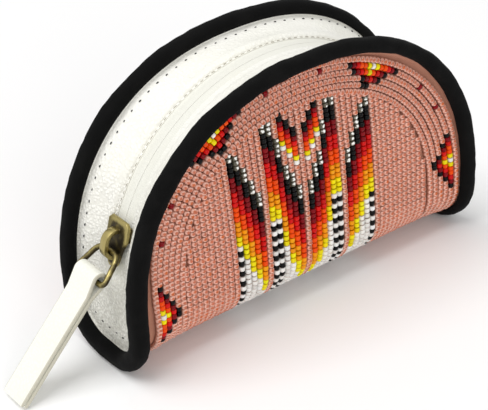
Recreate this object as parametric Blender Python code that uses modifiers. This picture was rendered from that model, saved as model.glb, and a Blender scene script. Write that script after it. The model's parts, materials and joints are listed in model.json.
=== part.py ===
"""Beaded coin purse.

One oval panel of beadwork is folded in half and stands on its fold. A black binding runs
round its edge. A strip of white leather, the gusset, joins the two halves over the arch and
carries a zip whose slider pulls by a wire ring and a folded leather tab.

X runs along the purse, with the slider's end at -X. The front face looks to -Y. Z is up,
and the origin lies on the floor under the middle of the purse and its hanging tab together.
Every piece is built about the middle of the purse and then moved along X by its parent.
All sizes are in metres.
"""

import math

import bmesh
import bpy
from mathutils import Matrix, Vector

# Outline of the panel and its fold

HALF_LENGTH = 0.0607
ARCH_HEIGHT = 0.0594
ARCH_POWER = 2.25
ARCH_CENTRE_RISE = 0.0163
PANEL_SPACING = 0.0335
FOLD_FLAT = 0.007

# Layers at the edge, counted outward from the middle of the binding

CLEARANCE = 0.0003
BINDING_WIDTH = 0.0047
BINDING_THICKNESS = 0.0054
BINDING_PADDING = 0.0025
BINDING_WALL = 0.0011
BINDING_ROUNDNESS = 2.8
INNER_LEG_INSET = 0.0012
BACKING_THICKNESS = 0.0006
LINING_THICKNESS = 0.0004
DISH_START = 0.0025
DISH_END = 0.0042
DISH_DEPTH = 0.0022

# Beadwork

RING_COUNT = 6
RING_PITCH = 0.0020
RING_START = 0.0031
LANE_COUNT = 45
BEAD_VALLEY = 0.0007
BEAD_CROWN = 0.0015

# Gusset and zip, with radii from the middle of the arch

ZIP_RADIUS = 0.0564
GUSSET_THICKNESS = 0.0009
GUSSET_BEND_RADIUS = 0.0012
SLOT_WIDTH = 0.0104
SLOT_END_ANGLE = math.radians(12.3)
TAPE_THICKNESS = 0.0005
TAPE_WIDTH = 0.0080
TAPE_END_ANGLE = math.radians(2.5)
TAPE_GAP = 0.0016
COIL_WIDTH = 0.0019
COIL_HEIGHT = 0.0014
COIL_END_ANGLE = math.radians(7.5)

# Slider, measured along its travel (t), across (y) and outward from the arch (n)

SLIDER_ANGLE = math.radians(17.2)
SLIDER_LENGTH = 0.0142
SLIDER_WIDTH = 0.0095
TAIL_WIDTH = 0.0052
PLATE_THICKNESS = 0.0010
PLATE_LIFT = 0.0007
PLATE_BEVEL = 0.0003
PLATE_CHAMFER_SHARE = 0.125
PLATE_SHOULDER_SHARE = 0.38
PLATE_WAIST_SHARE = 0.52
SKIRT_WIDTH = 0.0008
LOWER_PLATE_LENGTH = 0.0096
LOWER_PLATE_THICKNESS = 0.0008
LOWER_TAIL_SHARE = 0.8
NECK_WIDTH = 0.0010
NECK_LENGTH = 0.0026
NECK_INSET = 0.0004
RAIL_WIDTH = 0.0007
BAIL_LENGTH = 0.0090
BAIL_HEIGHT = 0.0040
BAIL_WIDTH = 0.0026
BAIL_THICKNESS = 0.0012
BAIL_CORNER = 0.0024

# Ring and tab

RING_WIRE = 0.0015
RING_REACH = 0.0090
RING_TOP_WIDTH = 0.0088
RING_TOP_CORNER = 0.0034
RING_SIDE_ROOM = 0.0018
RING_BAR_CORNER = 0.0013
RING_LIFT = math.radians(34.5)
TAB_WIDTH = 0.0097
TAB_LENGTH = 0.0390
TAB_LEATHER = 0.00115
TAB_LOOP_BORE = 0.0028
TAB_LOOP_SHIFT = -0.0006
TAB_JOIN = 0.0050
TAB_TURN = math.radians(-7.5)

# Facets

FOLD_STEPS = 5
ARCH_STEPS = 33
BINDING_STEPS = 10
BEND_STEPS = 3
WEB_STATIONS = (0.0, 0.5, 1.0)
ZIP_STEPS = 40
COIL_SIDES = 6
LOOP_STEPS = 12
CORNER_STEPS = 4
BAIL_STEPS = 8
WIRE_RESOLUTION = 2
LEVEL_TOLERANCE = 1e-7

# Sizes worked out from those above

FOLD_RADIUS = (PANEL_SPACING - FOLD_FLAT) / 2
FOLD_HEIGHT = BINDING_THICKNESS / 2
ARCH_CENTRE_Z = FOLD_HEIGHT + ARCH_CENTRE_RISE
FOLD_QUARTER = FOLD_RADIUS * math.pi / 2
SIDE_LENGTH = FOLD_FLAT / 2 + FOLD_QUARTER + ARCH_CENTRE_RISE - FOLD_RADIUS

BINDING_SLOT_OUTER = BINDING_THICKNESS / 2 - BINDING_PADDING
BACKING_OUTER = BINDING_SLOT_OUTER - CLEARANCE
BACKING_INNER = BACKING_OUTER - BACKING_THICKNESS
FLANGE_MIDDLE = BACKING_INNER - CLEARANCE - GUSSET_THICKNESS / 2
BINDING_SLOT_INNER = FLANGE_MIDDLE - GUSSET_THICKNESS / 2 - CLEARANCE
LINING_OUTER = BACKING_INNER - CLEARANCE
EDGE_REACH = BINDING_WIDTH / 2 - BINDING_WALL - CLEARANCE
WEB_INSET = INNER_LEG_INSET + GUSSET_BEND_RADIUS

BEAD_BASE = BACKING_OUTER + CLEARANCE
FIELD_INSET = RING_START + RING_COUNT * RING_PITCH + CLEARANCE
LANE_PITCH = 2 * (HALF_LENGTH - FIELD_INSET) / LANE_COUNT

TAPE_OUTER = -GUSSET_THICKNESS / 2 - CLEARANCE
COIL_OUTER = TAPE_OUTER - TAPE_THICKNESS - CLEARANCE
SKIRT_BASE = TAPE_OUTER + CLEARANCE
PLATE_BASE = SKIRT_BASE + PLATE_LIFT
PLATE_TOP = PLATE_BASE + PLATE_THICKNESS
LOWER_PLATE_SAG = LOWER_PLATE_LENGTH ** 2 / (8 * ZIP_RADIUS)
LOWER_PLATE_TOP = COIL_OUTER - COIL_HEIGHT - CLEARANCE - LOWER_PLATE_SAG
LOWER_PLATE_WIDTH = TAPE_GAP + 2 * (COIL_WIDTH + CLEARANCE + RAIL_WIDTH)
RAIL_TOP = TAPE_OUTER - TAPE_THICKNESS - CLEARANCE - LOWER_PLATE_SAG
RING_SEAT = (BAIL_CORNER - CLEARANCE - RING_WIRE / 2) * math.sqrt(0.5)
RING_PIVOT_HEIGHT = PLATE_TOP + BAIL_HEIGHT - BAIL_THICKNESS - BAIL_CORNER + RING_SEAT
RING_OFFSET = BAIL_THICKNESS + BAIL_CORNER - BAIL_LENGTH / 2 - RING_SEAT
RING_BAR_WIDTH = TAB_WIDTH + RING_WIRE + 2 * CLEARANCE + RING_SIDE_ROOM
TAB_LOOP_RADIUS = (TAB_LOOP_BORE + TAB_LEATHER) / 2
TAB_HALF_GAP = CLEARANCE / 2 + TAB_LEATHER / 2

RING_SLOPE = math.pi / 2 - SLIDER_ANGLE - RING_LIFT
TAB_SLOPE = RING_SLOPE - TAB_TURN
RING_PIVOT_X = (RING_OFFSET * math.sin(SLIDER_ANGLE)
                - (ZIP_RADIUS + RING_PIVOT_HEIGHT) * math.cos(SLIDER_ANGLE))
TAB_TIP_X = (RING_PIVOT_X - RING_REACH * math.cos(RING_SLOPE) - TAB_LENGTH * math.cos(TAB_SLOPE)
             - (TAB_HALF_GAP + TAB_LEATHER / 2) * math.sin(TAB_SLOPE))
PURSE_X = -(TAB_TIP_X + HALF_LENGTH + BINDING_WIDTH / 2) / 2

# Finishes: colour, roughness, metallic

FINISHES = {
    "salmon_beads": ((0.68, 0.30, 0.22), 0.30, 0.0),
    "salmon_backing": ((0.58, 0.20, 0.11), 0.80, 0.0),
    "tan_lining": ((0.62, 0.48, 0.34), 0.90, 0.0),
    "black_suede": ((0.010, 0.010, 0.011), 0.90, 0.0),
    "white_leather": ((0.90, 0.90, 0.86), 0.60, 0.0),
    "white_tape": ((0.88, 0.88, 0.84), 0.75, 0.0),
    "white_nylon": ((0.85, 0.85, 0.80), 0.45, 0.0),
    "old_brass": ((0.30, 0.23, 0.10), 0.38, 1.0),
}


# Scene and materials


def clear_scene():
    """Remove every object of the scene."""
    for thing in list(bpy.data.objects):
        bpy.data.objects.remove(thing, do_unlink=True)


def make_collection(name):
    """Add a collection to the scene."""
    group = bpy.data.collections.new(name)
    bpy.context.scene.collection.children.link(group)
    return group


def make_material(name):
    """Make one of the finishes."""
    colour, roughness, metallic = FINISHES[name]
    material = bpy.data.materials.new(name)
    material.use_nodes = True
    shader = material.node_tree.nodes["Principled BSDF"]
    shader.inputs["Base Color"].default_value = (*colour, 1.0)
    shader.inputs["Roughness"].default_value = roughness
    shader.inputs["Metallic"].default_value = metallic
    material.diffuse_color = (*colour, 1.0)
    return material


def face_outward(bm):
    """Point a body's faces outward; an open surface only gets matching faces."""
    bmesh.ops.recalc_face_normals(bm, faces=bm.faces)
    closed = all(edge.is_manifold for edge in bm.edges)
    if closed and bm.calc_volume(signed=True) < 0:
        bmesh.ops.reverse_faces(bm, faces=bm.faces)


def add_object(name, bm, group, material, smooth_angle=None):
    """Turn a bmesh into a named object with its material."""
    face_outward(bm)
    mesh = bpy.data.meshes.new(name)
    bm.to_mesh(mesh)
    bm.free()
    if material is not None:
        mesh.materials.append(material)
    if smooth_angle is not None:
        mesh.shade_smooth()
        mesh.set_sharp_from_angle(angle=math.radians(smooth_angle))
    thing = bpy.data.objects.new(name, mesh)
    group.objects.link(thing)
    return thing


# The folded panel: a flat point is (x, s, h), with s the distance from the fold's middle,
# negative on the front half, and h the height outward from the middle of the binding


def fold(x, s, h):
    """Place a point of the flat panel on the folded one."""
    side = -1.0 if s < 0 else 1.0
    beyond = abs(s) - FOLD_FLAT / 2
    if beyond <= 0:
        y, z, out_y, out_z = abs(s), 0.0, 0.0, -1.0
    elif beyond <= FOLD_QUARTER:
        turn = beyond / FOLD_RADIUS
        out_y, out_z = math.sin(turn), -math.cos(turn)
        y = FOLD_FLAT / 2 + FOLD_RADIUS * out_y
        z = FOLD_RADIUS * (1.0 + out_z)
    else:
        y, z = FOLD_FLAT / 2 + FOLD_RADIUS, FOLD_RADIUS + beyond - FOLD_QUARTER
        out_y, out_z = 1.0, 0.0
    return Vector((x, side * (y + h * out_y), FOLD_HEIGHT + z + h * out_z))


def fold_lines():
    """Give the distances from the fold's middle at which the panel bends."""
    return [FOLD_FLAT / 2 + FOLD_QUARTER * i / FOLD_STEPS for i in range(FOLD_STEPS + 1)]


class Station:
    """A place on the panel's edge: its flat position, its outward direction in the panel,
    and its share of the way along a side (0 to 1) or its angle over an arch."""

    def __init__(self, x, s, out_x, out_s, part, place):
        self.x, self.s, self.out_x, self.out_s = x, s, out_x, out_s
        self.part, self.place = part, place

    def flat(self, inset):
        """Give the flat point that lies an inset within the edge."""
        return self.x - inset * self.out_x, self.s - inset * self.out_s

    def folded(self, inset, h):
        """Give the folded point at an inset and a height."""
        return fold(*self.flat(inset), h)


def arch_station(angle, side, part):
    """Make a station on an arch, at an angle up from the -X end."""
    c, s = math.cos(angle), math.sin(angle)
    reach = (abs(c) ** ARCH_POWER + abs(s) ** ARCH_POWER) ** (-1 / ARCH_POWER)
    x, rise = -HALF_LENGTH * reach * c, ARCH_HEIGHT * reach * s
    out_x = -math.copysign(abs(c) ** (ARCH_POWER - 1), c) / HALF_LENGTH
    out = Vector((out_x, abs(s) ** (ARCH_POWER - 1) / ARCH_HEIGHT))
    out.normalize()
    return Station(x, side * (SIDE_LENGTH + rise), out.x, side * out.y, part, angle)


def side_stations(end):
    """Make the stations across the fold at one end, from the front to the rear."""
    lines = [-SIDE_LENGTH] + [-s for s in reversed(fold_lines())] + fold_lines()
    return [
        Station(end * HALF_LENGTH, s, end, 0.0, "side", (s + SIDE_LENGTH) / (2 * SIDE_LENGTH))
        for s in lines
    ]


def edge_loop():
    """Make all stations in order: -X side, rear arch, +X side, front arch."""
    angles = [math.pi * i / ARCH_STEPS for i in range(ARCH_STEPS)]
    loop = side_stations(-1.0)
    loop += [arch_station(angle, 1.0, "rear") for angle in angles]
    right = [arch_station(math.pi, 1.0, "right")] + list(reversed(side_stations(1.0)))[:-1]
    for station in right:
        station.part = "right"
        station.place = (station.s + SIDE_LENGTH) / (2 * SIDE_LENGTH)
    loop += right
    loop += [arch_station(math.pi - angle, -1.0, "front") for angle in angles]
    return loop


# Lofts


def lies_at(part, level):
    """Tell whether a whole edge or face lies at one height."""
    return all(abs(vert.co.z - level) < LEVEL_TOLERANCE for vert in part.verts)


def loft(sections, closed_along, closed_around, caps=False):
    """Join like sections with quads."""
    bm = bmesh.new()
    rows = [[bm.verts.new(point) for point in section] for section in sections]
    count = len(rows)
    around = len(rows[0])
    for i in range(count if closed_along else count - 1):
        here, there = rows[i], rows[(i + 1) % count]
        for j in range(around if closed_around else around - 1):
            k = (j + 1) % around
            bm.faces.new((here[j], here[k], there[k], there[j]))
    if caps:
        bm.faces.new(rows[0])
        bm.faces.new(list(reversed(rows[-1])))
    return bm


def drop(inset):
    """Give how far the panel has sunk below its edge, at an inset: it is dished like a tray."""
    share = (inset - DISH_START) / (DISH_END - DISH_START)
    return DISH_DEPTH * min(max(share, 0.0), 1.0)


def flat_sheet(inset, low, high):
    """Cut a sheet to the panel's outline, less an inset, flat but for the dished edge."""
    bm = bmesh.new()
    insets = [inset] + [step for step in (DISH_START, DISH_END) if step > inset]
    stations = edge_loop()
    rims = []
    for level in (low, high):
        loops = []
        for reach in insets:
            z = level - drop(reach)
            loops.append([bm.verts.new((*station.flat(reach), z)) for station in stations])
        for outer, inner in zip(loops, loops[1:]):
            join_loops(bm, outer, inner)
        bm.faces.new(loops[-1])
        rims.append(loops[0])
    join_loops(bm, *rims)
    return bm


def join_loops(bm, first, second):
    """Join two closed loops of vertices with quads."""
    for i, vert in enumerate(first):
        k = (i + 1) % len(first)
        bm.faces.new((vert, first[k], second[k], second[i]))


def score(bm, faces, place, direction):
    """Cut a line across some faces."""
    edges = {edge for face in faces for edge in face.edges}
    verts = {vert for face in faces for vert in face.verts}
    geom = list(faces) + list(edges) + list(verts)
    bmesh.ops.bisect_plane(bm, geom=geom, dist=LEVEL_TOLERANCE, plane_co=place, plane_no=direction)


def fold_sheet(bm):
    """Score a flat sheet along the fold and bend it into shape."""
    for line in fold_lines():
        for s in (-line, line):
            score(bm, list(bm.faces), (0.0, s, 0.0), (0.0, 1.0, 0.0))
    for vert in bm.verts:
        vert.co = fold(*vert.co)
    return bm


# Panel, lining and binding


def build_backing(group, material):
    """The cloth that carries the beads, with its edge inside the binding."""
    bm = fold_sheet(flat_sheet(-EDGE_REACH, BACKING_INNER, BACKING_OUTER))
    return add_object("backing_panel", bm, group, material)


def build_lining(group, material):
    """The lining inside the pocket, which stops short of the gusset at the dish's foot."""
    bm = fold_sheet(flat_sheet(DISH_END, LINING_OUTER - LINING_THICKNESS, LINING_OUTER))
    return add_object("pocket_lining", bm, group, material)


def binding_section():
    """The binding's U-shaped section, flattened a little on its four sides: insets and heights."""
    half_width, half_height = BINDING_WIDTH / 2, BINDING_THICKNESS / 2
    step = math.pi / 6
    crest = rounded_square(step / 2)[0]
    points = [(half_width, BINDING_SLOT_OUTER)]
    for i in range(BINDING_STEPS):
        across, up = rounded_square(step * (i + 0.5))
        points.append((half_width * across / crest, half_height * up / crest))
    points.append((INNER_LEG_INSET, BINDING_SLOT_INNER))
    points.append((BINDING_WALL - half_width, BINDING_SLOT_INNER))
    points.append((BINDING_WALL - half_width, BINDING_SLOT_OUTER))
    return points


def rounded_square(turn):
    """A point at an angle on a square of half width 1 with round corners."""
    c, s = math.cos(turn), math.sin(turn)
    power = BINDING_ROUNDNESS
    size = (abs(c) ** power + abs(s) ** power) ** (-1 / power)
    return size * c, size * s


def build_binding(group, material):
    """The black binding, one closed loop round the whole panel."""
    section = binding_section()
    rows = [[station.folded(inset, h) for inset, h in section] for station in edge_loop()]
    bm = loft(rows, closed_along=True, closed_around=True)
    return add_object("edge_binding", bm, group, material, smooth_angle=50)


# Beadwork


def ridge_height(place, pitch):
    """Give the height over a row of beads, at a place counted from its middle."""
    off = abs((place / pitch + 0.5) % 1.0 - 0.5)
    return BEAD_CROWN - (BEAD_CROWN - BEAD_VALLEY) * 2 * off


def build_bead_border(group, material):
    """The rings of beads that follow the panel's edge."""
    section = []
    for i in range(2 * RING_COUNT + 1):
        inset = RING_START + i * RING_PITCH / 2
        height = ridge_height((i + 1) * RING_PITCH / 2, RING_PITCH)
        section.append((inset, BEAD_BASE + height - drop(inset)))
    for inset in (section[-1][0], DISH_END, RING_START):
        section.append((inset, BEAD_BASE - drop(inset)))
    rows = [[station.folded(inset, h) for inset, h in section] for station in edge_loop()]
    bm = loft(rows, closed_along=True, closed_around=True)
    return add_object("beadwork_border", bm, group, material)


def build_bead_field(group, material):
    """The upright lanes of beads inside the rings."""
    bm = flat_sheet(FIELD_INSET, BEAD_BASE, BEAD_BASE + BEAD_VALLEY)
    top = BEAD_BASE + BEAD_VALLEY - DISH_DEPTH
    reach = LANE_COUNT - 1
    for i in range(-reach, reach + 1):
        faces = [face for face in bm.faces if lies_at(face, top)]
        score(bm, faces, (i * LANE_PITCH / 2, 0.0, 0.0), (1.0, 0.0, 0.0))
    for vert in bm.verts:
        if abs(vert.co.z - top) < LEVEL_TOLERANCE:
            vert.co.z = BEAD_BASE + ridge_height(vert.co.x, LANE_PITCH) - DISH_DEPTH
    return add_object("beadwork_field", fold_sheet(bm), group, material)


# Zip line: a point on the strip is (v, y, k), with v the distance over the arch from its
# -X foot, negative below it, and k the height outward from the middle of the leather


def strip(v, y, k):
    """Place a point of the zip strip over the arch."""
    over = v - math.pi * ZIP_RADIUS
    if v < 0:
        return Vector((-(ZIP_RADIUS + k), y, ARCH_CENTRE_Z + v))
    if over > 0:
        return Vector((ZIP_RADIUS + k, y, ARCH_CENTRE_Z - over))
    angle = v / ZIP_RADIUS
    reach = ZIP_RADIUS + k
    return Vector((-reach * math.cos(angle), y, ARCH_CENTRE_Z + reach * math.sin(angle)))


def strip_place(point):
    """Give the strip's v, y and k for a point in space."""
    rise = point.z - ARCH_CENTRE_Z
    if rise <= 0:
        v = rise if point.x < 0 else math.pi * ZIP_RADIUS - rise
        return v, point.y, abs(point.x) - ZIP_RADIUS
    angle = math.atan2(rise, -point.x)
    return angle * ZIP_RADIUS, point.y, math.hypot(point.x, rise) - ZIP_RADIUS


def slot_place(station):
    """Give the point of the slot's edge that faces a station."""
    half = SLOT_WIDTH / 2
    first, last = SLOT_END_ANGLE, math.pi - SLOT_END_ANGLE
    if station.part in ("front", "rear"):
        angle = first + (last - first) * station.place / math.pi
        return angle * ZIP_RADIUS, half if station.part == "rear" else -half
    turn = math.pi * station.place
    if station.part == "side":
        return first * ZIP_RADIUS - half * math.sin(turn), -half * math.cos(turn)
    return last * ZIP_RADIUS + half * math.sin(turn), -half * math.cos(turn)


def gusset_row(station):
    """The middle of the leather from the slot's edge to the end of its flange."""
    slot_v, slot_y = slot_place(station)
    bend_h = FLANGE_MIDDLE - GUSSET_BEND_RADIUS
    edge_v, edge_y, edge_k = strip_place(station.folded(WEB_INSET, bend_h))
    row = []
    for share in WEB_STATIONS:
        rise = share * share * (3 - 2 * share)
        v = slot_v + (edge_v - slot_v) * share
        y = slot_y + (edge_y - slot_y) * share
        row.append(strip(v, y, edge_k * rise))
    for i in range(1, BEND_STEPS + 1):
        turn = math.pi / 2 * i / BEND_STEPS
        inset = INNER_LEG_INSET + GUSSET_BEND_RADIUS * math.cos(turn)
        row.append(station.folded(inset, bend_h + GUSSET_BEND_RADIUS * math.sin(turn)))
    row.append(station.folded(-EDGE_REACH, FLANGE_MIDDLE))
    return row


def build_gusset(group, material):
    """The white leather strip with its long slot and its turned flange."""
    rows = [gusset_row(station) for station in edge_loop()]
    bm = loft(rows, closed_along=True, closed_around=False)
    gusset = add_object("gusset", bm, group, material, smooth_angle=50)
    wall = gusset.modifiers.new("leather", "SOLIDIFY")
    wall.thickness = GUSSET_THICKNESS
    wall.offset = 0.0
    return gusset


def zip_rows(section, end_angle):
    """Carry a section of (y, k) pairs over the arch between two end angles."""
    rows = []
    for i in range(ZIP_STEPS + 1):
        angle = end_angle + (math.pi - 2 * end_angle) * i / ZIP_STEPS
        rows.append([strip(angle * ZIP_RADIUS, y, k) for y, k in section])
    return rows


def build_tape(name, side, group, material):
    """One half of the zip's woven tape, flat side out."""
    near, far = TAPE_GAP / 2, TAPE_GAP / 2 + TAPE_WIDTH
    low = TAPE_OUTER - TAPE_THICKNESS
    section = [(side * near, low), (side * far, low), (side * far, TAPE_OUTER), (side * near, TAPE_OUTER)]
    bm = loft(zip_rows(section, TAPE_END_ANGLE), False, True, caps=True)
    return add_object(name, bm, group, material)


def build_coil(name, side, group, material):
    """One half of the zip's coil, which lies under the tape's inner edge."""
    middle_y = side * (TAPE_GAP + COIL_WIDTH) / 2
    middle_k = COIL_OUTER - COIL_HEIGHT / 2
    section = []
    for i in range(COIL_SIDES):
        turn = 2 * math.pi * i / COIL_SIDES
        y = middle_y + COIL_WIDTH / 2 * math.cos(turn)
        section.append((y, middle_k + COIL_HEIGHT / 2 * math.sin(turn)))
    bm = loft(zip_rows(section, COIL_END_ANGLE), False, True, caps=True)
    return add_object(name, bm, group, material, smooth_angle=80)


# Slider, built in its own frame: X is t, Y is y and Z is n, with n = 0 on the zip's radius


def prism(outline, axis, low, high):
    """Raise an outline of pairs into a prism along Y or Z."""
    bm = bmesh.new()
    if axis == "Z":
        base = [bm.verts.new((a, b, low)) for a, b in outline]
        step = Vector((0.0, 0.0, high - low))
    else:
        base = [bm.verts.new((a, low, b)) for a, b in outline]
        step = Vector((0.0, high - low, 0.0))
    made = bmesh.ops.extrude_face_region(bm, geom=[bm.faces.new(base)], use_keep_orig=True)
    raised = [item for item in made["geom"] if isinstance(item, bmesh.types.BMVert)]
    bmesh.ops.translate(bm, verts=raised, vec=step)
    return bm


def arc(centre, radius, first, last, steps):
    """Points on an arc, both ends included."""
    points = []
    for i in range(steps + 1):
        turn = first + (last - first) * i / steps
        points.append((centre[0] + radius * math.cos(turn), centre[1] + radius * math.sin(turn)))
    return points


def shield(length, width, tail):
    """A slider plate's outline: square shoulders, sides drawn in, and a round tail."""
    front = length / 2
    tail_radius = tail / 2
    chamfer = width * PLATE_CHAMFER_SHARE
    half = [
        (front, width / 2 - chamfer),
        (front - chamfer, width / 2),
        (front - PLATE_SHOULDER_SHARE * length, width / 2),
        (front - PLATE_WAIST_SHARE * length, (width + tail) / 4),
    ]
    round_end = arc((tail_radius - front, 0.0), tail_radius, math.pi / 2, 3 * math.pi / 2, 8)
    mirrored = [(t, -y) for t, y in reversed(half)]
    return half + round_end + mirrored


def bail_outline():
    """The bail's outline in t and n: a hoop with round shoulders, its feet in the plate."""
    half = BAIL_LENGTH / 2
    foot = PLATE_TOP - PLATE_THICKNESS / 2
    points = []
    for wall, way in ((0.0, 1), (BAIL_THICKNESS, -1)):
        reach = half - wall
        top = PLATE_TOP + BAIL_HEIGHT - wall
        corner = BAIL_CORNER + BAIL_THICKNESS - wall
        right = arc((reach - corner, top - corner), corner, 0.0, math.pi / 2, BAIL_STEPS)
        side = [(reach, foot)] + right + [(-t, n) for t, n in reversed(right)] + [(-reach, foot)]
        points += side if way > 0 else list(reversed(side))
    return points


def add_cutter(name, bm, group):
    """Add a guide that a Boolean reads and no render shows."""
    guide = add_object(name, bm, group, None)
    guide.hide_render = True
    guide.display_type = "WIRE"
    return guide


def box_outline(t_low, t_high, y_low, y_high):
    """A rectangle in t and y."""
    return [(t_low, y_low), (t_high, y_low), (t_high, y_high), (t_low, y_high)]


def side_strip(length, width, thickness, side):
    """A strip along the straight part of a shield's side."""
    edges = sorted((side * (width / 2 - thickness), side * width / 2))
    waist = length / 2 - PLATE_SHOULDER_SHARE * length
    return box_outline(waist, length / 2 - width * PLATE_CHAMFER_SHARE, *edges)


def build_slider(group, guides, material):
    """The cast slider: two plates, the neck between them, the lower rails and the bail."""
    plate = prism(shield(SLIDER_LENGTH, SLIDER_WIDTH, TAIL_WIDTH), "Z", PLATE_BASE, PLATE_TOP)
    rim = [edge for edge in plate.edges if lies_at(edge, PLATE_TOP)]
    bmesh.ops.bevel(plate, geom=rim, offset=PLATE_BEVEL, segments=2, profile=0.5, affect="EDGES")
    slider = add_object("zip_slider", plate, group, material, smooth_angle=35)

    lower_low = LOWER_PLATE_TOP - LOWER_PLATE_THICKNESS
    lower_tail = LOWER_PLATE_WIDTH * LOWER_TAIL_SHARE
    lower_shape = shield(LOWER_PLATE_LENGTH, LOWER_PLATE_WIDTH, lower_tail)
    neck_end = LOWER_PLATE_LENGTH / 2 - NECK_INSET
    neck = box_outline(neck_end - NECK_LENGTH, neck_end, -NECK_WIDTH / 2, NECK_WIDTH / 2)
    neck_low = LOWER_PLATE_TOP - LOWER_PLATE_THICKNESS / 2
    plate_middle = PLATE_BASE + PLATE_THICKNESS / 2
    pieces = [
        ("neck", prism(neck, "Z", neck_low, plate_middle)),
        ("lower_plate", prism(lower_shape, "Z", lower_low, LOWER_PLATE_TOP)),
        ("bail", prism(bail_outline(), "Y", -BAIL_WIDTH / 2, BAIL_WIDTH / 2)),
    ]
    for side, name in ((-1, "front"), (1, "rear")):
        rail = side_strip(LOWER_PLATE_LENGTH, LOWER_PLATE_WIDTH, RAIL_WIDTH, side)
        pieces.append((name + "_rail", prism(rail, "Z", neck_low, RAIL_TOP)))
        skirt = side_strip(SLIDER_LENGTH, SLIDER_WIDTH - CLEARANCE, SKIRT_WIDTH, side)
        pieces.append((name + "_skirt", prism(skirt, "Z", SKIRT_BASE, plate_middle)))
    for name, shape in pieces:
        guide = add_cutter("slider_" + name, shape, guides)
        guide.parent = slider
        join = slider.modifiers.new(name, "BOOLEAN")
        join.operation = "UNION"
        join.object = guide
    return slider


# Ring and tab, each built about its own pivot: X runs from the pivot towards the tab's tip


def ring_path():
    """The ring's centre line: narrow in the bail, wide at the tab, with round corners."""
    top, bar = RING_TOP_WIDTH / 2, RING_BAR_WIDTH / 2
    corners = [(0.0, -top), (RING_REACH, -bar), (RING_REACH, bar), (0.0, top)]
    path = []
    for i, corner in enumerate(corners):
        radius = RING_TOP_CORNER if corner[0] == 0.0 else RING_BAR_CORNER
        here = Vector(corner)
        before = (Vector(corners[i - 1]) - here).normalized()
        after = (Vector(corners[(i + 1) % 4]) - here).normalized()
        half_angle = before.angle(after) / 2
        inward = (before + after).normalized()
        centre = here + inward * (radius / math.sin(half_angle))
        start = here + before * (radius / math.tan(half_angle)) - centre
        sweep = math.pi - 2 * half_angle
        for step in range(CORNER_STEPS + 1):
            turn = sweep * step / CORNER_STEPS
            c, s = math.cos(turn), math.sin(turn)
            path.append(centre + Vector((start.x * c - start.y * s, start.x * s + start.y * c)))
    return path


def build_ring(group, material):
    """The wire ring, a closed bent rod."""
    curve = bpy.data.curves.new("pull_ring_line", "CURVE")
    curve.dimensions = "3D"
    line = curve.splines.new("POLY")
    path = ring_path()
    line.points.add(len(path) - 1)
    for point, place in zip(line.points, path):
        point.co = (place.x, place.y, 0.0, 1.0)
    line.use_cyclic_u = True
    curve.bevel_depth = RING_WIRE / 2
    curve.bevel_resolution = WIRE_RESOLUTION
    curve.materials.append(material)
    ring = bpy.data.objects.new("pull_ring", curve)
    group.objects.link(ring)
    return ring


def tab_path():
    """The strap's centre line: up one layer, round the ring's bar and down the other."""
    run = TAB_JOIN - TAB_LOOP_SHIFT
    reach = math.hypot(run, TAB_HALF_GAP)
    leave = math.atan2(TAB_HALF_GAP, run) + math.acos(TAB_LOOP_RADIUS / reach)
    loop = arc((TAB_LOOP_SHIFT, 0.0), TAB_LOOP_RADIUS, leave, 2 * math.pi - leave, LOOP_STEPS)
    start = [(TAB_LENGTH, TAB_HALF_GAP), (TAB_JOIN, TAB_HALF_GAP)]
    return start + loop + [(a, -c) for a, c in reversed(start)]


def build_tab(group, material):
    """The leather pull tab, one strap folded double over the ring."""
    half = TAB_WIDTH / 2
    rows = [[Vector((a, -half, c)), Vector((a, half, c))] for a, c in tab_path()]
    bm = loft(rows, closed_along=False, closed_around=False)
    tab = add_object("pull_tab", bm, group, material, smooth_angle=40)
    strap = tab.modifiers.new("strap", "SOLIDIFY")
    strap.thickness = TAB_LEATHER
    strap.offset = 0.0
    strap.use_even_offset = True
    return tab


# Assembly of the pull


def add_pivot(name, group, place, parent=None):
    """Add an empty on a joint's axis."""
    pivot = bpy.data.objects.new(name, None)
    pivot.empty_display_size = 0.004
    group.objects.link(pivot)
    if parent is not None:
        pivot.parent = parent
    pivot.matrix_local = place
    return pivot


def assemble_pull(group, base, slider, ring, tab):
    """Place the slider on the arch, the ring in its bail and the tab on the ring.

    Each pivot turns about its own Y axis. Its X axis points along the piece it carries.
    """
    travel_place = Matrix.Translation((0.0, 0.0, ARCH_CENTRE_Z))
    travel = add_pivot("slider_travel", group, travel_place, parent=base)
    slider.parent = travel
    up_the_arch = Matrix.Rotation(SLIDER_ANGLE - math.pi / 2, 4, "Y")
    slider.matrix_local = up_the_arch @ Matrix.Translation((0.0, 0.0, ZIP_RADIUS))

    swing_place = Matrix.Translation((RING_OFFSET, 0.0, RING_PIVOT_HEIGHT))
    down_and_out = Matrix.Rotation(math.pi + RING_LIFT, 4, "Y")
    swing = add_pivot("ring_swing", group, swing_place @ down_and_out, parent=slider)
    ring.parent = swing

    turn_place = Matrix.Translation((RING_REACH, 0.0, 0.0)) @ Matrix.Rotation(TAB_TURN, 4, "Y")
    turn = add_pivot("tab_swing", group, turn_place, parent=swing)
    tab.parent = turn


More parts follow.
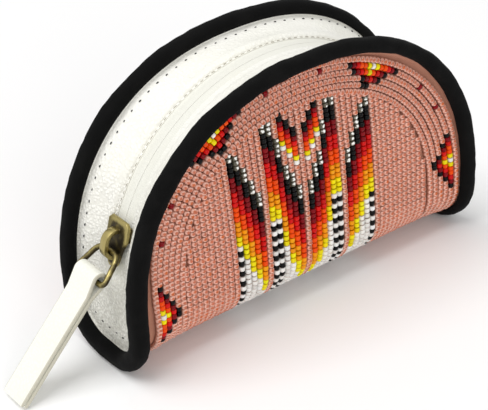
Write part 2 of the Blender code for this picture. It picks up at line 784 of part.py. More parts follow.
def build_purse():
    """Build every piece of the purse."""
    clear_scene()
    purse = make_collection("beaded_coin_purse")
    guides = make_collection("guides")
    finish = {name: make_material(name) for name in FINISHES}

    base = add_pivot("purse_middle", purse, Matrix.Translation((PURSE_X, 0.0, 0.0)))
    sewn = [
        build_backing(purse, finish["salmon_backing"]),
        build_lining(purse, finish["tan_lining"]),
        build_bead_border(purse, finish["salmon_beads"]),
        build_bead_field(purse, finish["salmon_beads"]),
        build_binding(purse, finish["black_suede"]),
        build_gusset(purse, finish["white_leather"]),
    ]
    for side, name in ((-1.0, "front"), (1.0, "rear")):
        sewn.append(build_tape("zip_tape_" + name, side, purse, finish["white_tape"]))
        sewn.append(build_coil("zip_coil_" + name, side, purse, finish["white_nylon"]))
    for piece in sewn:
        piece.parent = base

    slider = build_slider(purse, guides, finish["old_brass"])
    ring = build_ring(purse, finish["old_brass"])
    tab = build_tab(purse, finish["white_leather"])
    assemble_pull(purse, base, slider, ring, tab)


build_purse()
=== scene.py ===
"""Looks of the beaded coin purse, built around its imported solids.

The purse is one oval panel folded in half. Its flat points are (x, s, h): x along the purse,
s the distance from the fold's middle, negative on the front half, and h the height outward
from the middle of the binding. Every piece is in metres, in the frame of the solids.
"""

import json
import logging
import math
from dataclasses import dataclass, field
from enum import Enum
from typing import Any, Iterable, Mapping, Sequence

import bmesh
import bpy
import numpy as np
from mathutils import Matrix, Vector


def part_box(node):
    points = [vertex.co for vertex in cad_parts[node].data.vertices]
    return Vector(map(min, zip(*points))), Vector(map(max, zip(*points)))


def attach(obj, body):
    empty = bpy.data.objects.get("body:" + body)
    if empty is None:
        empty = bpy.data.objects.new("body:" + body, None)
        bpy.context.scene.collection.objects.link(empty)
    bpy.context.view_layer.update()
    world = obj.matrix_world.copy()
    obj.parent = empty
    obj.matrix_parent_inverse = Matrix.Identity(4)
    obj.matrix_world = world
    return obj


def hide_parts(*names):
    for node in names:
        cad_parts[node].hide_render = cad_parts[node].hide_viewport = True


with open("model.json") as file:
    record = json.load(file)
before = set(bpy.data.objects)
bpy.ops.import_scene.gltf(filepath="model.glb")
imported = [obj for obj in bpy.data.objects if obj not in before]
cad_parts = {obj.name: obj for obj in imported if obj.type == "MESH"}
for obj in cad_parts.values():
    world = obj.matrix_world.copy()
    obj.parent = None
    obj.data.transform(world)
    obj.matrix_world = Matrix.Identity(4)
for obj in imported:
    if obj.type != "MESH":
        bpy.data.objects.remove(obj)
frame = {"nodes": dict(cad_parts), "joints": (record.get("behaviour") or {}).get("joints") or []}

log = logging.getLogger("purse")

Array = np.ndarray
Colour = tuple[float, float, float]
Point = tuple[float, float, float]

NODE_SPACING = 180
EDGE_STEPS = (150, 44)
SIDES = ((-1.0, "front"), (1.0, "rear"))
OFF_FOLD = 1e-6
CENTIMETRES = 100.0
MILLIMETRES = 1000.0
WAVE_DIRECTIONS = 4
WAVE_PHASES = 6.3
NEARLY_UPRIGHT = 1.0 - 1e-7


# Node trees


class Value:
    """A number that varies over a surface. Its operators add Math nodes."""

    def __init__(self, board: "Board", socket: bpy.types.NodeSocket) -> None:
        """Wrap an output socket."""
        self.board = board
        self.socket = socket

    def _math(self, operation: str, first: Any, second: Any = None) -> "Value":
        """Add one Math node.

        Args:
            operation: The node's operation.
            first: The first number or value.
            second: The second number or value, if there is one.

        Returns:
            The node's result.
        """
        inputs = {0: first} if second is None else {0: first, 1: second}
        return self.board.value("ShaderNodeMath", {"operation": operation}, inputs, "Value")

    def __add__(self, other: Any) -> "Value":
        """Add."""
        return self._math("ADD", self, other)

    def __radd__(self, other: Any) -> "Value":
        """Add, with the value second."""
        return self._math("ADD", other, self)

    def __sub__(self, other: Any) -> "Value":
        """Subtract."""
        return self._math("SUBTRACT", self, other)

    def __rsub__(self, other: Any) -> "Value":
        """Subtract the value from a number."""
        return self._math("SUBTRACT", other, self)

    def __mul__(self, other: Any) -> "Value":
        """Multiply."""
        return self._math("MULTIPLY", self, other)

    def __rmul__(self, other: Any) -> "Value":
        """Multiply, with the value second."""
        return self._math("MULTIPLY", other, self)

    def __pow__(self, other: Any) -> "Value":
        """Raise to a power."""
        return self._math("POWER", self, other)

    def wave(self) -> "Value":
        """Give the sine, in radians."""
        return self._math("SINE", self)

    def size(self) -> "Value":
        """Give the absolute value."""
        return self._math("ABSOLUTE", self)

    def larger(self, other: Any) -> "Value":
        """Give the larger of two values."""
        return self._math("MAXIMUM", self, other)

    def between(self, low: float, high: float) -> "Value":
        """Rise smoothly from 0 at one level to 1 at another.

        Args:
            low: The level that gives 0.
            high: The level that gives 1.

        Returns:
            The eased share.
        """
        settings = {"interpolation_type": "SMOOTHSTEP"}
        inputs = {"Value": self, "From Min": low, "From Max": high}
        return self.board.value("ShaderNodeMapRange", settings, inputs, "Result")


class Board:
    """A node tree that is being drawn, for a shader or for geometry."""

    def __init__(self, tree: bpy.types.NodeTree) -> None:
        """Start on a tree."""
        self.tree = tree
        self.column = 0

    def find(self, sockets: Iterable[bpy.types.NodeSocket], key: Any) -> bpy.types.NodeSocket:
        """Find a socket by its number, identifier or name.

        Args:
            sockets: A node's inputs or outputs.
            key: The number, identifier or name.

        Returns:
            The socket.
        """
        found = list(sockets)
        if isinstance(key, int):
            return found[key]
        usable = [socket for socket in found if socket.enabled]
        for socket in usable:
            if socket.identifier == key:
                return socket
        return next(socket for socket in usable if socket.name == key)

    def add(
        self,
        kind: str,
        settings: Mapping[str, Any] | None = None,
        inputs: Mapping[Any, Any] | None = None,
    ) -> bpy.types.Node:
        """Add a node, set its settings and then its sockets.

        Args:
            kind: The node's type.
            settings: Its settings.
            inputs: Numbers, colours, sockets or values for its inputs.

        Returns:
            The node.
        """
        node = self.tree.nodes.new(kind)
        node.location = (self.column * NODE_SPACING, 0)
        self.column += 1
        for name, setting in (settings or {}).items():
            setattr(node, name, setting)
        for key, given in (inputs or {}).items():
            socket = self.find(node.inputs, key)
            if isinstance(given, Value):
                given = given.socket
            if isinstance(given, bpy.types.NodeSocket):
                self.tree.links.new(given, socket)
            else:
                socket.default_value = given
        return node

    def get(self, kind: str, settings: Any, inputs: Any, output: Any) -> bpy.types.NodeSocket:
        """Add a node and give one of its output sockets.

        Args:
            kind: The node's type.
            settings: Its settings.
            inputs: What its inputs take.
            output: The output's number, identifier or name.

        Returns:
            The output socket.
        """
        return self.find(self.add(kind, settings, inputs).outputs, output)

    def value(self, kind: str, settings: Any, inputs: Any, output: Any) -> Value:
        """Add a node and give one of its outputs as a value."""
        return Value(self, self.get(kind, settings, inputs, output))

    def place(self) -> bpy.types.NodeSocket:
        """Give the Object coordinates."""
        return self.get("ShaderNodeTexCoord", {}, {}, "Object")

    def mark(self, name: str) -> Value:
        """Give one of the mesh's number attributes."""
        return self.value("ShaderNodeAttribute", {"attribute_name": name}, {}, "Fac")

    def axes(self, vector: bpy.types.NodeSocket) -> tuple[Value, Value, Value]:
        """Split a vector into its three numbers."""
        x, y, z = self.add("ShaderNodeSeparateXYZ", {}, {0: vector}).outputs
        return Value(self, x), Value(self, y), Value(self, z)

    def noise(self, scale: float, detail: float, rough: float = 0.5, seed: float = 0.0) -> Value:
        """Give noise in space.

        Args:
            scale: Its lumps in a metre.
            detail: Its octaves.
            rough: How strong the finer octaves are.
            seed: A shift that makes it another noise.

        Returns:
            The noise, about 0.5.
        """
        shifted = self.get(
            "ShaderNodeVectorMath", {"operation": "ADD"}, {0: self.place(), 1: (seed, seed, seed)}, 0
        )
        inputs = {"Vector": shifted, "Scale": scale, "Detail": detail, "Roughness": rough}
        return self.value("ShaderNodeTexNoise", {}, inputs, "Fac")

    def blend(self, share: Any, first: Any, second: Any, how: str = "MIX") -> bpy.types.NodeSocket:
        """Mix two colours.

        Args:
            share: The second colour's share.
            first: The first colour, or a link to it.
            second: The second colour, or a link to it.
            how: The way that they mix.

        Returns:
            The mixed colour.
        """
        settings = {"data_type": "RGBA", "blend_type": how}
        inputs = {"Factor_Float": share, "A_Color": opaque(first), "B_Color": opaque(second)}
        return self.get("ShaderNodeMix", settings, inputs, "Result_Color")

    def bump(self, height: Value, distance: float) -> bpy.types.NodeSocket:
        """Turn a height from 0 to 1 into a normal. The distance is what a height of 1 stands up."""
        inputs = {"Height": height, "Distance": distance, "Strength": 1.0}
        return self.get("ShaderNodeBump", {}, inputs, "Normal")


def opaque(colour: Any) -> Any:
    """Give a plain colour its alpha, and leave a link as it is."""
    return (*colour, 1.0) if isinstance(colour, tuple) and len(colour) == 3 else colour


def cleared(owner: Any) -> Board:
    """Start an empty node tree on a new material or world."""
    owner.use_nodes = True
    owner.node_tree.nodes.clear()
    return Board(owner.node_tree)


# Finishes


@dataclass(frozen=True)
class Finish:
    """A surface: its name, its slot in the record and what it is made of."""

    name: str
    slot: str
    colour: Colour
    roughness: float

    def material(self) -> bpy.types.Material:
        """Make the material, or give the one that is there.

        Returns:
            The material.
        """
        found = bpy.data.materials.get(self.name)
        if found is not None:
            return found
        made = bpy.data.materials.new(self.name)
        board = cleared(made)
        inputs = {"Base Color": opaque(self.colour), "Roughness": self.roughness}
        inputs.update(self.surface(board))
        shader = board.get("ShaderNodeBsdfPrincipled", {}, inputs, "BSDF")
        board.add("ShaderNodeOutputMaterial", {}, {"Surface": shader})
        made.diffuse_color = opaque(self.colour)
        return made

    def surface(self, board: Board) -> dict[str, Any]:
        """Draw the finish.

        Args:
            board: The material's node tree.

        Returns:
            What the shader's inputs take, by their names. Each finish says its own.
        """
        raise NotImplementedError(board)


@dataclass(frozen=True)
class BeadGlass(Finish):
    """Round glass seed beads. Each carries its colour and how clear and silvered it is.

    A clear bead has painted shade in its core and a painted highlight on its rim. A silvered one
    has a painted reflection, bright in its middle and dim at its rim. All have painted shade
    towards the gaps between them.
    """

    painted_rim_highlight: Colour = (1.0, 0.72, 0.62)
    painted_core_shade: Colour = (0.34, 0.06, 0.02)
    painted_silver_highlight: Colour = (1.0, 1.0, 0.96)
    painted_silver_shade: Colour = (0.10, 0.09, 0.06)
    painted_gap_shade: Colour = (0.46, 0.25, 0.17)
    rim_light: float = 0.74
    core_shade_share: float = 0.58
    end_shade: float = 0.56
    side_shade: float = 0.74
    dimple: float = 0.00008

    def surface(self, board: Board) -> dict[str, Any]:
        """Give each kind of bead its colours, with painted highlights, painted reflections and painted
        shade, and all of them the gloss of glass.
        """
        glass = board.get("ShaderNodeAttribute", {"attribute_name": "glass"}, {}, "Color")
        clear, silver, rim, end = (board.mark(name) for name in ("clear", "silver", "rim", "end"))
        streak = board.noise(2600.0, 2.0)
        # Painted highlight on a clear bead's rim and painted shade in its core.
        pale = board.blend(self.rim_light, glass, self.painted_rim_highlight)
        core_shade = board.blend(self.core_shade_share, glass, self.painted_core_shade)
        ring = (rim + (streak - 0.5) * 0.45).between(0.42, 0.90)
        clear_colour = board.blend(ring, core_shade, pale)
        solid_colour = board.blend(0.02 + 0.16 * streak, glass, (0.0, 0.0, 0.0))
        body = board.blend(clear, solid_colour, clear_colour)
        # Painted reflection of a silvered bead's lining: bright in its middle, dim at its rim, broken into
        # painted glints.
        painted_glint_cells = board.value(
            "ShaderNodeTexVoronoi", {}, {"Vector": board.place(), "Scale": 1500.0}, "Distance"
        )
        dull = (rim * 0.75 + painted_glint_cells * 0.55).between(0.55, 0.80)
        painted_reflection = board.blend(dull, self.painted_silver_highlight, self.painted_silver_shade)
        lined = board.blend(silver, body, painted_reflection)
        # Painted shade at the sides and ends of the beads, towards the gaps between them.
        side = rim.between(0.80, 1.0) * self.side_shade * clear
        shade = (end.between(0.78, 1.10) * self.end_shade).larger(side) * (1.0 - silver * 0.5)
        gap_shade_colour = board.blend(1.0, lined, self.painted_gap_shade, "MULTIPLY")
        height = board.noise(1500.0, 2.0)
        return {
            "Base Color": board.blend(shade, lined, gap_shade_colour),
            "Roughness": 0.18 + 0.10 * streak,
            "Metallic": silver * 0.15,
            "Coat Weight": clear * 0.35 + silver * 0.5,
            "Coat Roughness": 0.05,
            "Coat IOR": 1.6,
            "IOR": 1.45,
            "Specular IOR Level": 0.16,
            "Normal": board.bump(height, self.dimple),
        }


@dataclass(frozen=True)
class Suede(Finish):
    """Soft napped leather, a little paler where it is rubbed and where the nap stands up."""

    rubbed: Colour = (0.009, 0.0088, 0.0085)
    nap_tip: Colour = (0.020, 0.019, 0.018)
    nap_height: float = 0.00022

    def surface(self, board: Board) -> dict[str, Any]:
        """Give the nap a fine fuzz and slow patches."""
        patch = board.noise(180.0, 3.0)
        nap = board.noise(5200.0, 4.0, 0.65)
        crease = board.noise(700.0, 3.0, 0.5, 3.0)
        rubbed = board.blend(patch.between(0.45, 0.8) * 0.5, self.colour, self.rubbed)
        return {
            "Base Color": board.blend(nap.between(0.55, 0.8) * 0.4, rubbed, self.nap_tip),
            "Roughness": 0.80 + 0.15 * nap,
            "Sheen Weight": 0.015,
            "Sheen Roughness": 0.45,
            "Specular IOR Level": 0.06,
            "Normal": board.bump(nap * 0.5 + crease * 0.5, self.nap_height),
        }


@dataclass(frozen=True)
class PebbledLeather(Finish):
    """White leather with a fine pebbled grain and painted shade in its furrows, both strongest low down. An
    attribute marks cut edges.
    """

    pebble: float = 0.00085
    depth: float = 0.00024
    furrow_shade: float = 0.34
    wander: float = 0.0006
    aged: Colour = (0.86, 0.85, 0.74)
    furrow: Colour = (0.40, 0.38, 0.31)
    cut_edge: Colour = (0.52, 0.49, 0.38)

    def surface(self, board: Board) -> dict[str, Any]:
        """Give pebbles of uneven size, with faint shade in the furrows between them."""
        wander = board.get(
            "ShaderNodeTexNoise", {}, {"Vector": board.place(), "Scale": 900.0, "Detail": 2.0}, "Color"
        )
        pushed = board.get(
            "ShaderNodeVectorMath", {"operation": "MULTIPLY_ADD"},
            {0: wander, 1: (self.wander,) * 3, 2: board.place()}, 0
        )
        cells = board.value(
            "ShaderNodeTexVoronoi", {"feature": "SMOOTH_F1"},
            {"Vector": pushed, "Scale": 1.0 / self.pebble, "Smoothness": 0.35}, "Distance"
        )
        dome = 1.0 - cells.between(0.15, 0.75)
        rise = board.axes(board.place())[2]
        patch = board.noise(60.0, 2.0, 0.5, 5.0).between(0.30, 0.70)
        strength = (1.0 - rise.between(0.015, 0.070)) * 0.75 + patch * 0.25
        pores = board.noise(9000.0, 2.0)
        height = dome * (0.35 + 0.65 * strength) + pores * 0.12
        # Painted shade in the furrows between pebbles, strongest low down.
        furrow = (1.0 - dome) * (0.06 + self.furrow_shade * strength)
        tone = board.noise(45.0, 3.0, 0.5, 9.0)
        aged = board.blend(tone.between(0.4, 0.75) * 0.35, self.colour, self.aged)
        skin = board.blend(furrow, aged, self.furrow)
        cut = board.mark("cut").between(0.3, 0.9)
        return {
            "Base Color": board.blend(cut * 0.8, skin, self.cut_edge),
            "Roughness": self.roughness + 0.12 * (1.0 - dome),
            "Normal": board.bump(height, self.depth),
        }


@dataclass(frozen=True)
class RibbedTape(Finish):
    """Woven zip tape. Its UV map runs along the tape and across it, in centimetres."""

    ribs: float = 17.0
    warm: Colour = (0.86, 0.84, 0.74)
    painted_rib_shade: Colour = (0.66, 0.65, 0.58)
    rib_height: float = 0.00006

    def surface(self, board: Board) -> dict[str, Any]:
        """Give fine ribs across the tape, each broken into threads, with painted shade between the ribs."""
        along, across, _ = board.axes(board.get("ShaderNodeUVMap", {}, {}, "UV"))
        turn = 2.0 * math.pi * self.ribs
        rib = (along * turn).wave() * 0.5 + 0.5
        thread = (across * turn + (along * turn * 0.5).wave() * 1.4).wave() * 0.5 + 0.5
        height = rib * 0.45 + thread * 0.55
        fuzz = board.noise(6000.0, 3.0)
        dirt = board.noise(90.0, 3.0, 0.5, 2.0)
        warm = board.blend(dirt.between(0.4, 0.8) * 0.4, self.colour, self.warm)
        # Painted shade between the ribs, over the tape's own dirt.
        return {
            "Base Color": board.blend((1.0 - height) * 0.20, warm, self.painted_rib_shade),
            "Roughness": self.roughness + 0.1 * fuzz,
            "Normal": board.bump(height + fuzz * 0.2, self.rib_height),
        }


@dataclass(frozen=True)
class PlainWeave(Finish):
    """Plain woven cloth, read off Object coordinates."""

    threads: float = 2400.0
    thread_height: float = 0.00010

    def surface(self, board: Board) -> dict[str, Any]:
        """Give crossed threads with painted shade between them, and a little fuzz."""
        x, y, z = board.axes(board.place())
        turn = math.pi * self.threads
        warp = (x * turn).wave().size()
        weft = ((z + y) * turn).wave().size()
        height = (warp * weft) ** 0.5
        tone = board.noise(300.0, 3.0)
        # Darker between the threads as painted shade, and darker at random by tone.
        dark = tuple(0.55 * part for part in self.colour)
        return {
            "Base Color": board.blend(0.5 * (1.0 - height) + 0.25 * tone, self.colour, dark),
            "Roughness": self.roughness,
            "Normal": board.bump(height, self.thread_height),
        }


@dataclass(frozen=True)
class MouldedNylon(Finish):
    """Satin nylon of the zip's coil."""

    dulled: Colour = (0.76, 0.75, 0.68)
    ripple: float = 0.00005

    def surface(self, board: Board) -> dict[str, Any]:
        """Give a slow change of tone, gloss and height."""
        tone = board.noise(700.0, 3.0)
        return {
            "Base Color": board.blend(tone.between(0.3, 0.8) * 0.5, self.colour, self.dulled),
            "Roughness": self.roughness - 0.1 + 0.2 * tone,
            "Normal": board.bump(tone, self.ripple),
        }


@dataclass(frozen=True)
class OldBrass(Finish):
    """Dark plated brass, rubbed bright on its edges. A mesh attribute says where; on the ring it also holds
    a painted highlight on the upper face and painted shade on the inner face.
    """

    bright: Colour = (0.40, 0.33, 0.13)
    dark: Colour = (0.050, 0.040, 0.024)
    scratch: float = 0.00005

    def surface(self, board: Board) -> dict[str, Any]:
        """Give bright edges, dull flats, fine scratches and dark specks."""
        wear = board.mark("wear")
        cloud = board.noise(420.0, 4.0, 0.6)
        fine = board.noise(3800.0, 3.0, 0.6, 4.0)
        # Rubbed where worn; on the ring this mark also holds a painted highlight and painted shade.
        rubbed = (wear + (cloud - 0.5) * 0.7).between(0.25, 0.75)
        middle = board.blend(cloud.between(0.40, 0.85), self.dark, self.colour)
        colour = board.blend(rubbed, middle, self.bright)
        speck = fine.between(0.62, 0.75) * 0.5
        return {
            "Base Color": board.blend(speck, colour, self.dark),
            "Metallic": 1.0 - speck * 0.6,
            "Roughness": 0.42 - 0.17 * rubbed + 0.12 * fine,
            "Normal": board.bump(cloud * 0.6 + fine * 0.4, self.scratch),
        }


@dataclass(frozen=True)
class SewingThread(Finish):
    """Twisted thread of a stitch."""

    paler: float = 0.10
    twist_height: float = 0.00005

    def surface(self, board: Board) -> dict[str, Any]:
        """Give the twist and some lint."""
        twist = board.noise(7000.0, 2.0)
        pale = tuple(min(1.0, part + self.paler) for part in self.colour)
        return {
            "Base Color": board.blend(twist.between(0.4, 0.7) * 0.6, self.colour, pale),
            "Roughness": self.roughness,
            "Normal": board.bump(twist, self.twist_height),
        }


GLASS = BeadGlass("glass_beads", "salmon_beads", (0.68, 0.30, 0.22), 0.2)
SUEDE = Suede("black_suede_nap", "black_suede", (0.004, 0.004, 0.004), 0.9)
LEATHER = PebbledLeather("white_pebbled_leather", "white_leather", (0.955, 0.945, 0.885), 0.50)
TAB_LEATHER = PebbledLeather(
    "white_tab_leather", "white_leather", (0.93, 0.93, 0.85), 0.55,
    pebble=0.0007, depth=0.00005, furrow_shade=0.06,
)
TAPE = RibbedTape("woven_zip_tape", "white_tape", (0.86, 0.855, 0.78), 0.70)
BACKING = PlainWeave("salmon_cloth", "salmon_backing", (0.58, 0.26, 0.17), 0.85)
LINING = PlainWeave("tan_cloth", "tan_lining", (0.62, 0.48, 0.34), 0.9)
NYLON = MouldedNylon("nylon_coil", "white_nylon", (0.86, 0.86, 0.81), 0.45)
BRASS = OldBrass("rubbed_old_brass", "old_brass", (0.20, 0.16, 0.055), 0.35)
DARK_THREAD = SewingThread("dark_thread", "black_suede", (0.015, 0.014, 0.014), 0.8)
SEAM_THREAD = SewingThread("seam_thread", "white_leather", (0.34, 0.31, 0.24), 0.8)


# The folded panel


def superellipse(c: Array, s: Array, power: float) -> Array:
    """Give how far a rounded unit square reaches in the direction of a cosine and a sine."""
    return (np.abs(c) ** power + np.abs(s) ** power) ** (-1 / power)


def ease(share: Any) -> Any:
    """Ease a share from 0 to 1 at both ends."""
    return share * share * (3 - 2 * share)


@dataclass(frozen=True)
class Track:
    """Points on the flat panel: x, s, the direction out of the panel's edge, and for an edge
    its part (0 slider end, 1 rear arch, 2 far end, 3 front arch) and place along that part."""

    x: Array
    s: Array
    out_x: Array
    out_s: Array
    part: Array
    place: Array


@dataclass(frozen=True)
class PanelShape:
    """The oval panel, its fold and the line of the zip over its arch."""

    middle_x: float
    half_length: float = 0.0607
    arch_height: float = 0.0594
    arch_power: float = 2.25
    centre_rise: float = 0.0163
    spacing: float = 0.0335
    fold_flat: float = 0.007
    fold_height: float = 0.0027
    zip_radius: float = 0.0564
    slot_width: float = 0.0104
    slot_end: float = math.radians(12.3)
    stray_power: float = 0.6

    @property
    def fold_radius(self) -> float:
        """The radius of the fold's two bends."""
        return (self.spacing - self.fold_flat) / 2

    @property
    def quarter(self) -> float:
        """The length of one bend."""
        return self.fold_radius * math.pi / 2

    @property
    def side_length(self) -> float:
        """The length of an edge's straight part, from the fold's middle."""
        return self.fold_flat / 2 + self.quarter + self.centre_rise - self.fold_radius

    @property
    def centre_z(self) -> float:
        """The height of the arch's middle."""
        return self.fold_height + self.centre_rise

    def _turn(self, s: Array) -> tuple[Array, Array]:
        """Give the side, -1 at the front, and how far the panel has turned up from the floor."""
        beyond = np.abs(s) - self.fold_flat / 2
        return np.where(s < 0, -1.0, 1.0), np.clip(beyond / self.fold_radius, 0.0, math.pi / 2)

    def lay(self, x: Array, s: Array, h: Any) -> Array:
        """Place flat points on the folded panel.

        Args:
            x: Places along the purse.
            s: Distances from the fold's middle.
            h: Heights outward from the middle of the binding.

        Returns:
            The points, one row each.
        """
        x, s, h = np.broadcast_arrays(x, s, h)
        side, turn = self._turn(s)
        beyond = np.abs(s) - self.fold_flat / 2
        out_y, out_z = np.sin(turn), -np.cos(turn)
        y = np.where(beyond <= 0, np.abs(s), self.fold_flat / 2 + self.fold_radius * out_y)
        z = self.fold_radius * (1.0 + out_z) + np.maximum(beyond - self.quarter, 0.0)
        return np.stack([x + self.middle_x, side * (y + h * out_y), self.fold_height + z + h * out_z], -1)

    def outward(self, s: Array) -> Array:
        """Give the directions out of the panel's face."""
        side, turn = self._turn(s)
        return np.stack([np.zeros_like(turn), side * np.sin(turn), -np.cos(turn)], -1)

    def _arch(self, angle: Array, side: float, part: int) -> Track:
        """Give the edge over one arch.

        Args:
            angle: Angles up from the slider's end.
            side: -1 at the front, 1 at the rear.
            part: The arch's number among the edge's parts.

        Returns:
            The stretch of edge.
        """
        c, s = np.cos(angle), np.sin(angle)
        power = self.arch_power
        reach = superellipse(c, s, power)
        out_x = -np.sign(c) * np.abs(c) ** (power - 1) / self.half_length
        out_s = np.abs(s) ** (power - 1) / self.arch_height
        size = np.hypot(out_x, out_s)
        rise = self.side_length + self.arch_height * reach * s
        x = -self.half_length * reach * c
        return Track(x, side * rise, out_x / size, side * out_s / size, np.full_like(x, part), angle)

    def edge(self, arch_steps: int = 120, side_steps: int = 34) -> Track:
        """Give the panel's whole edge as a closed loop.

        Args:
            arch_steps: Steps over each arch.
            side_steps: Steps across the fold at each end.

        Returns:
            The edge: slider's end, rear arch, far end, front arch.
        """
        angle = np.linspace(0.0, math.pi, arch_steps, endpoint=False)
        share = np.linspace(0.0, 1.0, side_steps, endpoint=False)
        length = self.side_length
        parts = []
        for end, part in ((-1.0, 0), (1.0, 2)):
            s = -end * length * (2 * share - 1)
            s = np.where(np.abs(s) < OFF_FOLD, OFF_FOLD, s)
            flat = np.full_like(share, end * self.half_length)
            out = np.full_like(share, end)
            place = (s + length) / (2 * length)
            parts.append(Track(flat, s, out, np.zeros_like(share), np.full_like(share, part), place))
        rear = self._arch(angle, 1.0, 1)
        front = self._arch(math.pi - angle, -1.0, 3)
        order = (parts[0], rear, parts[1], front)
        names = ("x", "s", "out_x", "out_s", "part", "place")
        return Track(*(np.concatenate([getattr(track, name) for track in order]) for name in names))

    def inset(self, track: Track, reach: Any) -> tuple[Array, Array]:
        """Give the flat points an inset within the edge."""
        return track.x - reach * track.out_x, track.s - reach * track.out_s

    def strip(self, v: Array, y: Any, k: Any) -> Array:
        """Place points of the zip's strip over the arch.

        Args:
            v: Distances over the arch from its foot at the slider's end.
            y: Places across.
            k: Heights outward from the middle of the leather.

        Returns:
            The points, one row each.
        """
        v, y, k = np.broadcast_arrays(v, y, k)
        angle = np.clip(v / self.zip_radius, 0.0, math.pi)
        reach = self.zip_radius + k
        below = np.minimum(v, 0.0) - np.maximum(v - math.pi * self.zip_radius, 0.0)
        x = -reach * np.cos(angle) + self.middle_x
        return np.stack([x, y, self.centre_z + reach * np.sin(angle) + below], -1)

    def strip_place(self, points: Array) -> tuple[Array, Array, Array]:
        """Find points on the zip's strip, the other way round from strip.

        Args:
            points: Points in space.

        Returns:
            Their v, y and k.
        """
        x, rise = points[..., 0] - self.middle_x, points[..., 2] - self.centre_z
        angle = np.arctan2(np.maximum(rise, 0.0), -x)
        low = np.where(x < 0, rise, math.pi * self.zip_radius - rise)
        v = np.where(rise <= 0, low, angle * self.zip_radius)
        k = np.where(rise <= 0, np.abs(x), np.hypot(x, rise)) - self.zip_radius
        return v, points[..., 1], k

    def slot(self, track: Track, half: float, shift: float = 0.0) -> tuple[Array, Array]:
        """Give the points of an opening over the zip that face the stations of an edge.

        Args:
            track: The panel's edge.
            half: Half of the opening's width.
            shift: How far it strays to the rear over the arch.

        Returns:
            The points' v and y.
        """
        first, last = self.slot_end, math.pi - self.slot_end
        angle = first + (last - first) * track.place / math.pi
        turn = math.pi * track.place
        arch_v = angle * self.zip_radius
        near_v = first * self.zip_radius - half * np.sin(turn)
        far_v = last * self.zip_radius + half * np.sin(turn)
        v = np.select([track.part == 0, track.part == 2], [near_v, far_v], arch_v)
        arch_y = np.where(track.part == 1, half, -half)
        y = np.where((track.part == 0) | (track.part == 2), -half * np.cos(turn), arch_y)
        stray = np.where((track.part == 1) | (track.part == 3), np.sin(track.place) ** self.stray_power, 0.0)
        return v, y + shift * stray


# Meshes


def put(name: str, data: Any) -> bpy.types.Object:
    """Put a mesh, a camera or a lamp into the scene."""
    thing = bpy.data.objects.new(name, data)
    bpy.context.scene.collection.objects.link(thing)
    return thing


def face_outward(bm: bmesh.types.BMesh) -> None:
    """Point the faces of a closed body outward."""
    bmesh.ops.recalc_face_normals(bm, faces=bm.faces)
    if all(edge.is_manifold for edge in bm.edges) and bm.calc_volume(signed=True) < 0:
        bmesh.ops.reverse_faces(bm, faces=bm.faces)


def finish_mesh(name: str, bm: bmesh.types.BMesh, smooth: float | None = 60.0) -> bpy.types.Object:
    """Turn a bmesh into an object.

    Args:
        name: The piece's name.
        bm: The bmesh, which is freed.
        smooth: Edges over this many degrees stay sharp.

    Returns:
        The object, in the scene.
    """
    mesh = bpy.data.meshes.new(name)
    bm.to_mesh(mesh)
    bm.free()
    if smooth is not None:
        mesh.shade_smooth()
        mesh.set_sharp_from_angle(angle=math.radians(smooth))
    return put(name, mesh)


def small_piece(name: str, bm: bmesh.types.BMesh) -> bpy.types.Object:
    """Turn a closed bmesh into a smooth piece for sowing, out of the scene."""
    face_outward(bm)
    piece = finish_mesh(name, bm, None)
    piece.data.shade_smooth()
    bpy.context.scene.collection.objects.unlink(piece)
    return piece


def discard(piece: bpy.types.Object) -> None:
    """Delete a piece that was sown, with its mesh."""
    spare = piece.data
    bpy.data.objects.remove(piece)
    bpy.data.meshes.remove(spare)


def loft(rows: Array, closed_along: bool, closed_around: bool, caps: bool = False) -> bmesh.types.BMesh:
    """Join rows of points with quads, with a UV map in centimetres along and across.

    Args:
        rows: Points, as rows by columns by three.
        closed_along: Whether the last row joins the first.
        closed_around: Whether the last column joins the first.
        caps: Whether the first and last rows are closed by a face.

    Returns:
        The bmesh.
    """
    bm = bmesh.new()
    layer = bm.loops.layers.uv.new("run")
    count, around = rows.shape[:2]
    verts = [[bm.verts.new(point) for point in row] for row in rows]
    steps = np.linalg.norm(np.roll(rows, -1, 0) - rows, axis=2).mean(1)
    along = np.concatenate([[0.0], np.cumsum(steps)]) * CENTIMETRES
    widths = np.linalg.norm(np.roll(rows, -1, 1) - rows, axis=2).mean(0)
    across = np.concatenate([[0.0], np.cumsum(widths)]) * CENTIMETRES
    for i in range(count if closed_along else count - 1):
        here, there = verts[i], verts[(i + 1) % count]
        for j in range(around if closed_around else around - 1):
            k = (j + 1) % around
            face = bm.faces.new((here[j], here[k], there[k], there[j]))
            corners = ((i, j), (i, j + 1), (i + 1, j + 1), (i + 1, j))
            for loop, (a, b) in zip(face.loops, corners):
                loop[layer].uv = (along[a], across[b])
    if caps:
        bm.faces.new(verts[0])
        bm.faces.new(list(reversed(verts[-1])))
    return bm


def smooth_noise(places: Array, waves: Sequence[tuple[float, float]], seed: int) -> Array:
    """Add up sine waves in random directions at points in space.

    Args:
        places: The points, one row each.
        waves: Pairs of a wavelength and a height.
        seed: The seed.

    Returns:
        A height for each point.
    """
    maker = np.random.default_rng(seed)
    total = np.zeros(places.shape[:-1])
    for length, height in waves:
        for _ in range(WAVE_DIRECTIONS):
            way = maker.normal(size=3)
            way /= np.linalg.norm(way)
            phase = maker.uniform(0, WAVE_PHASES)
            total += height / 2 * np.sin(places @ way * 2 * math.pi / length + phase)
    return total


def add_modifier(thing: bpy.types.Object, kind: str, **settings: Any) -> bpy.types.Modifier:
    """Add a modifier with its settings."""
    modifier = thing.modifiers.new(kind.lower(), kind)
    for name, setting in settings.items():
        setattr(modifier, name, setting)
    return modifier


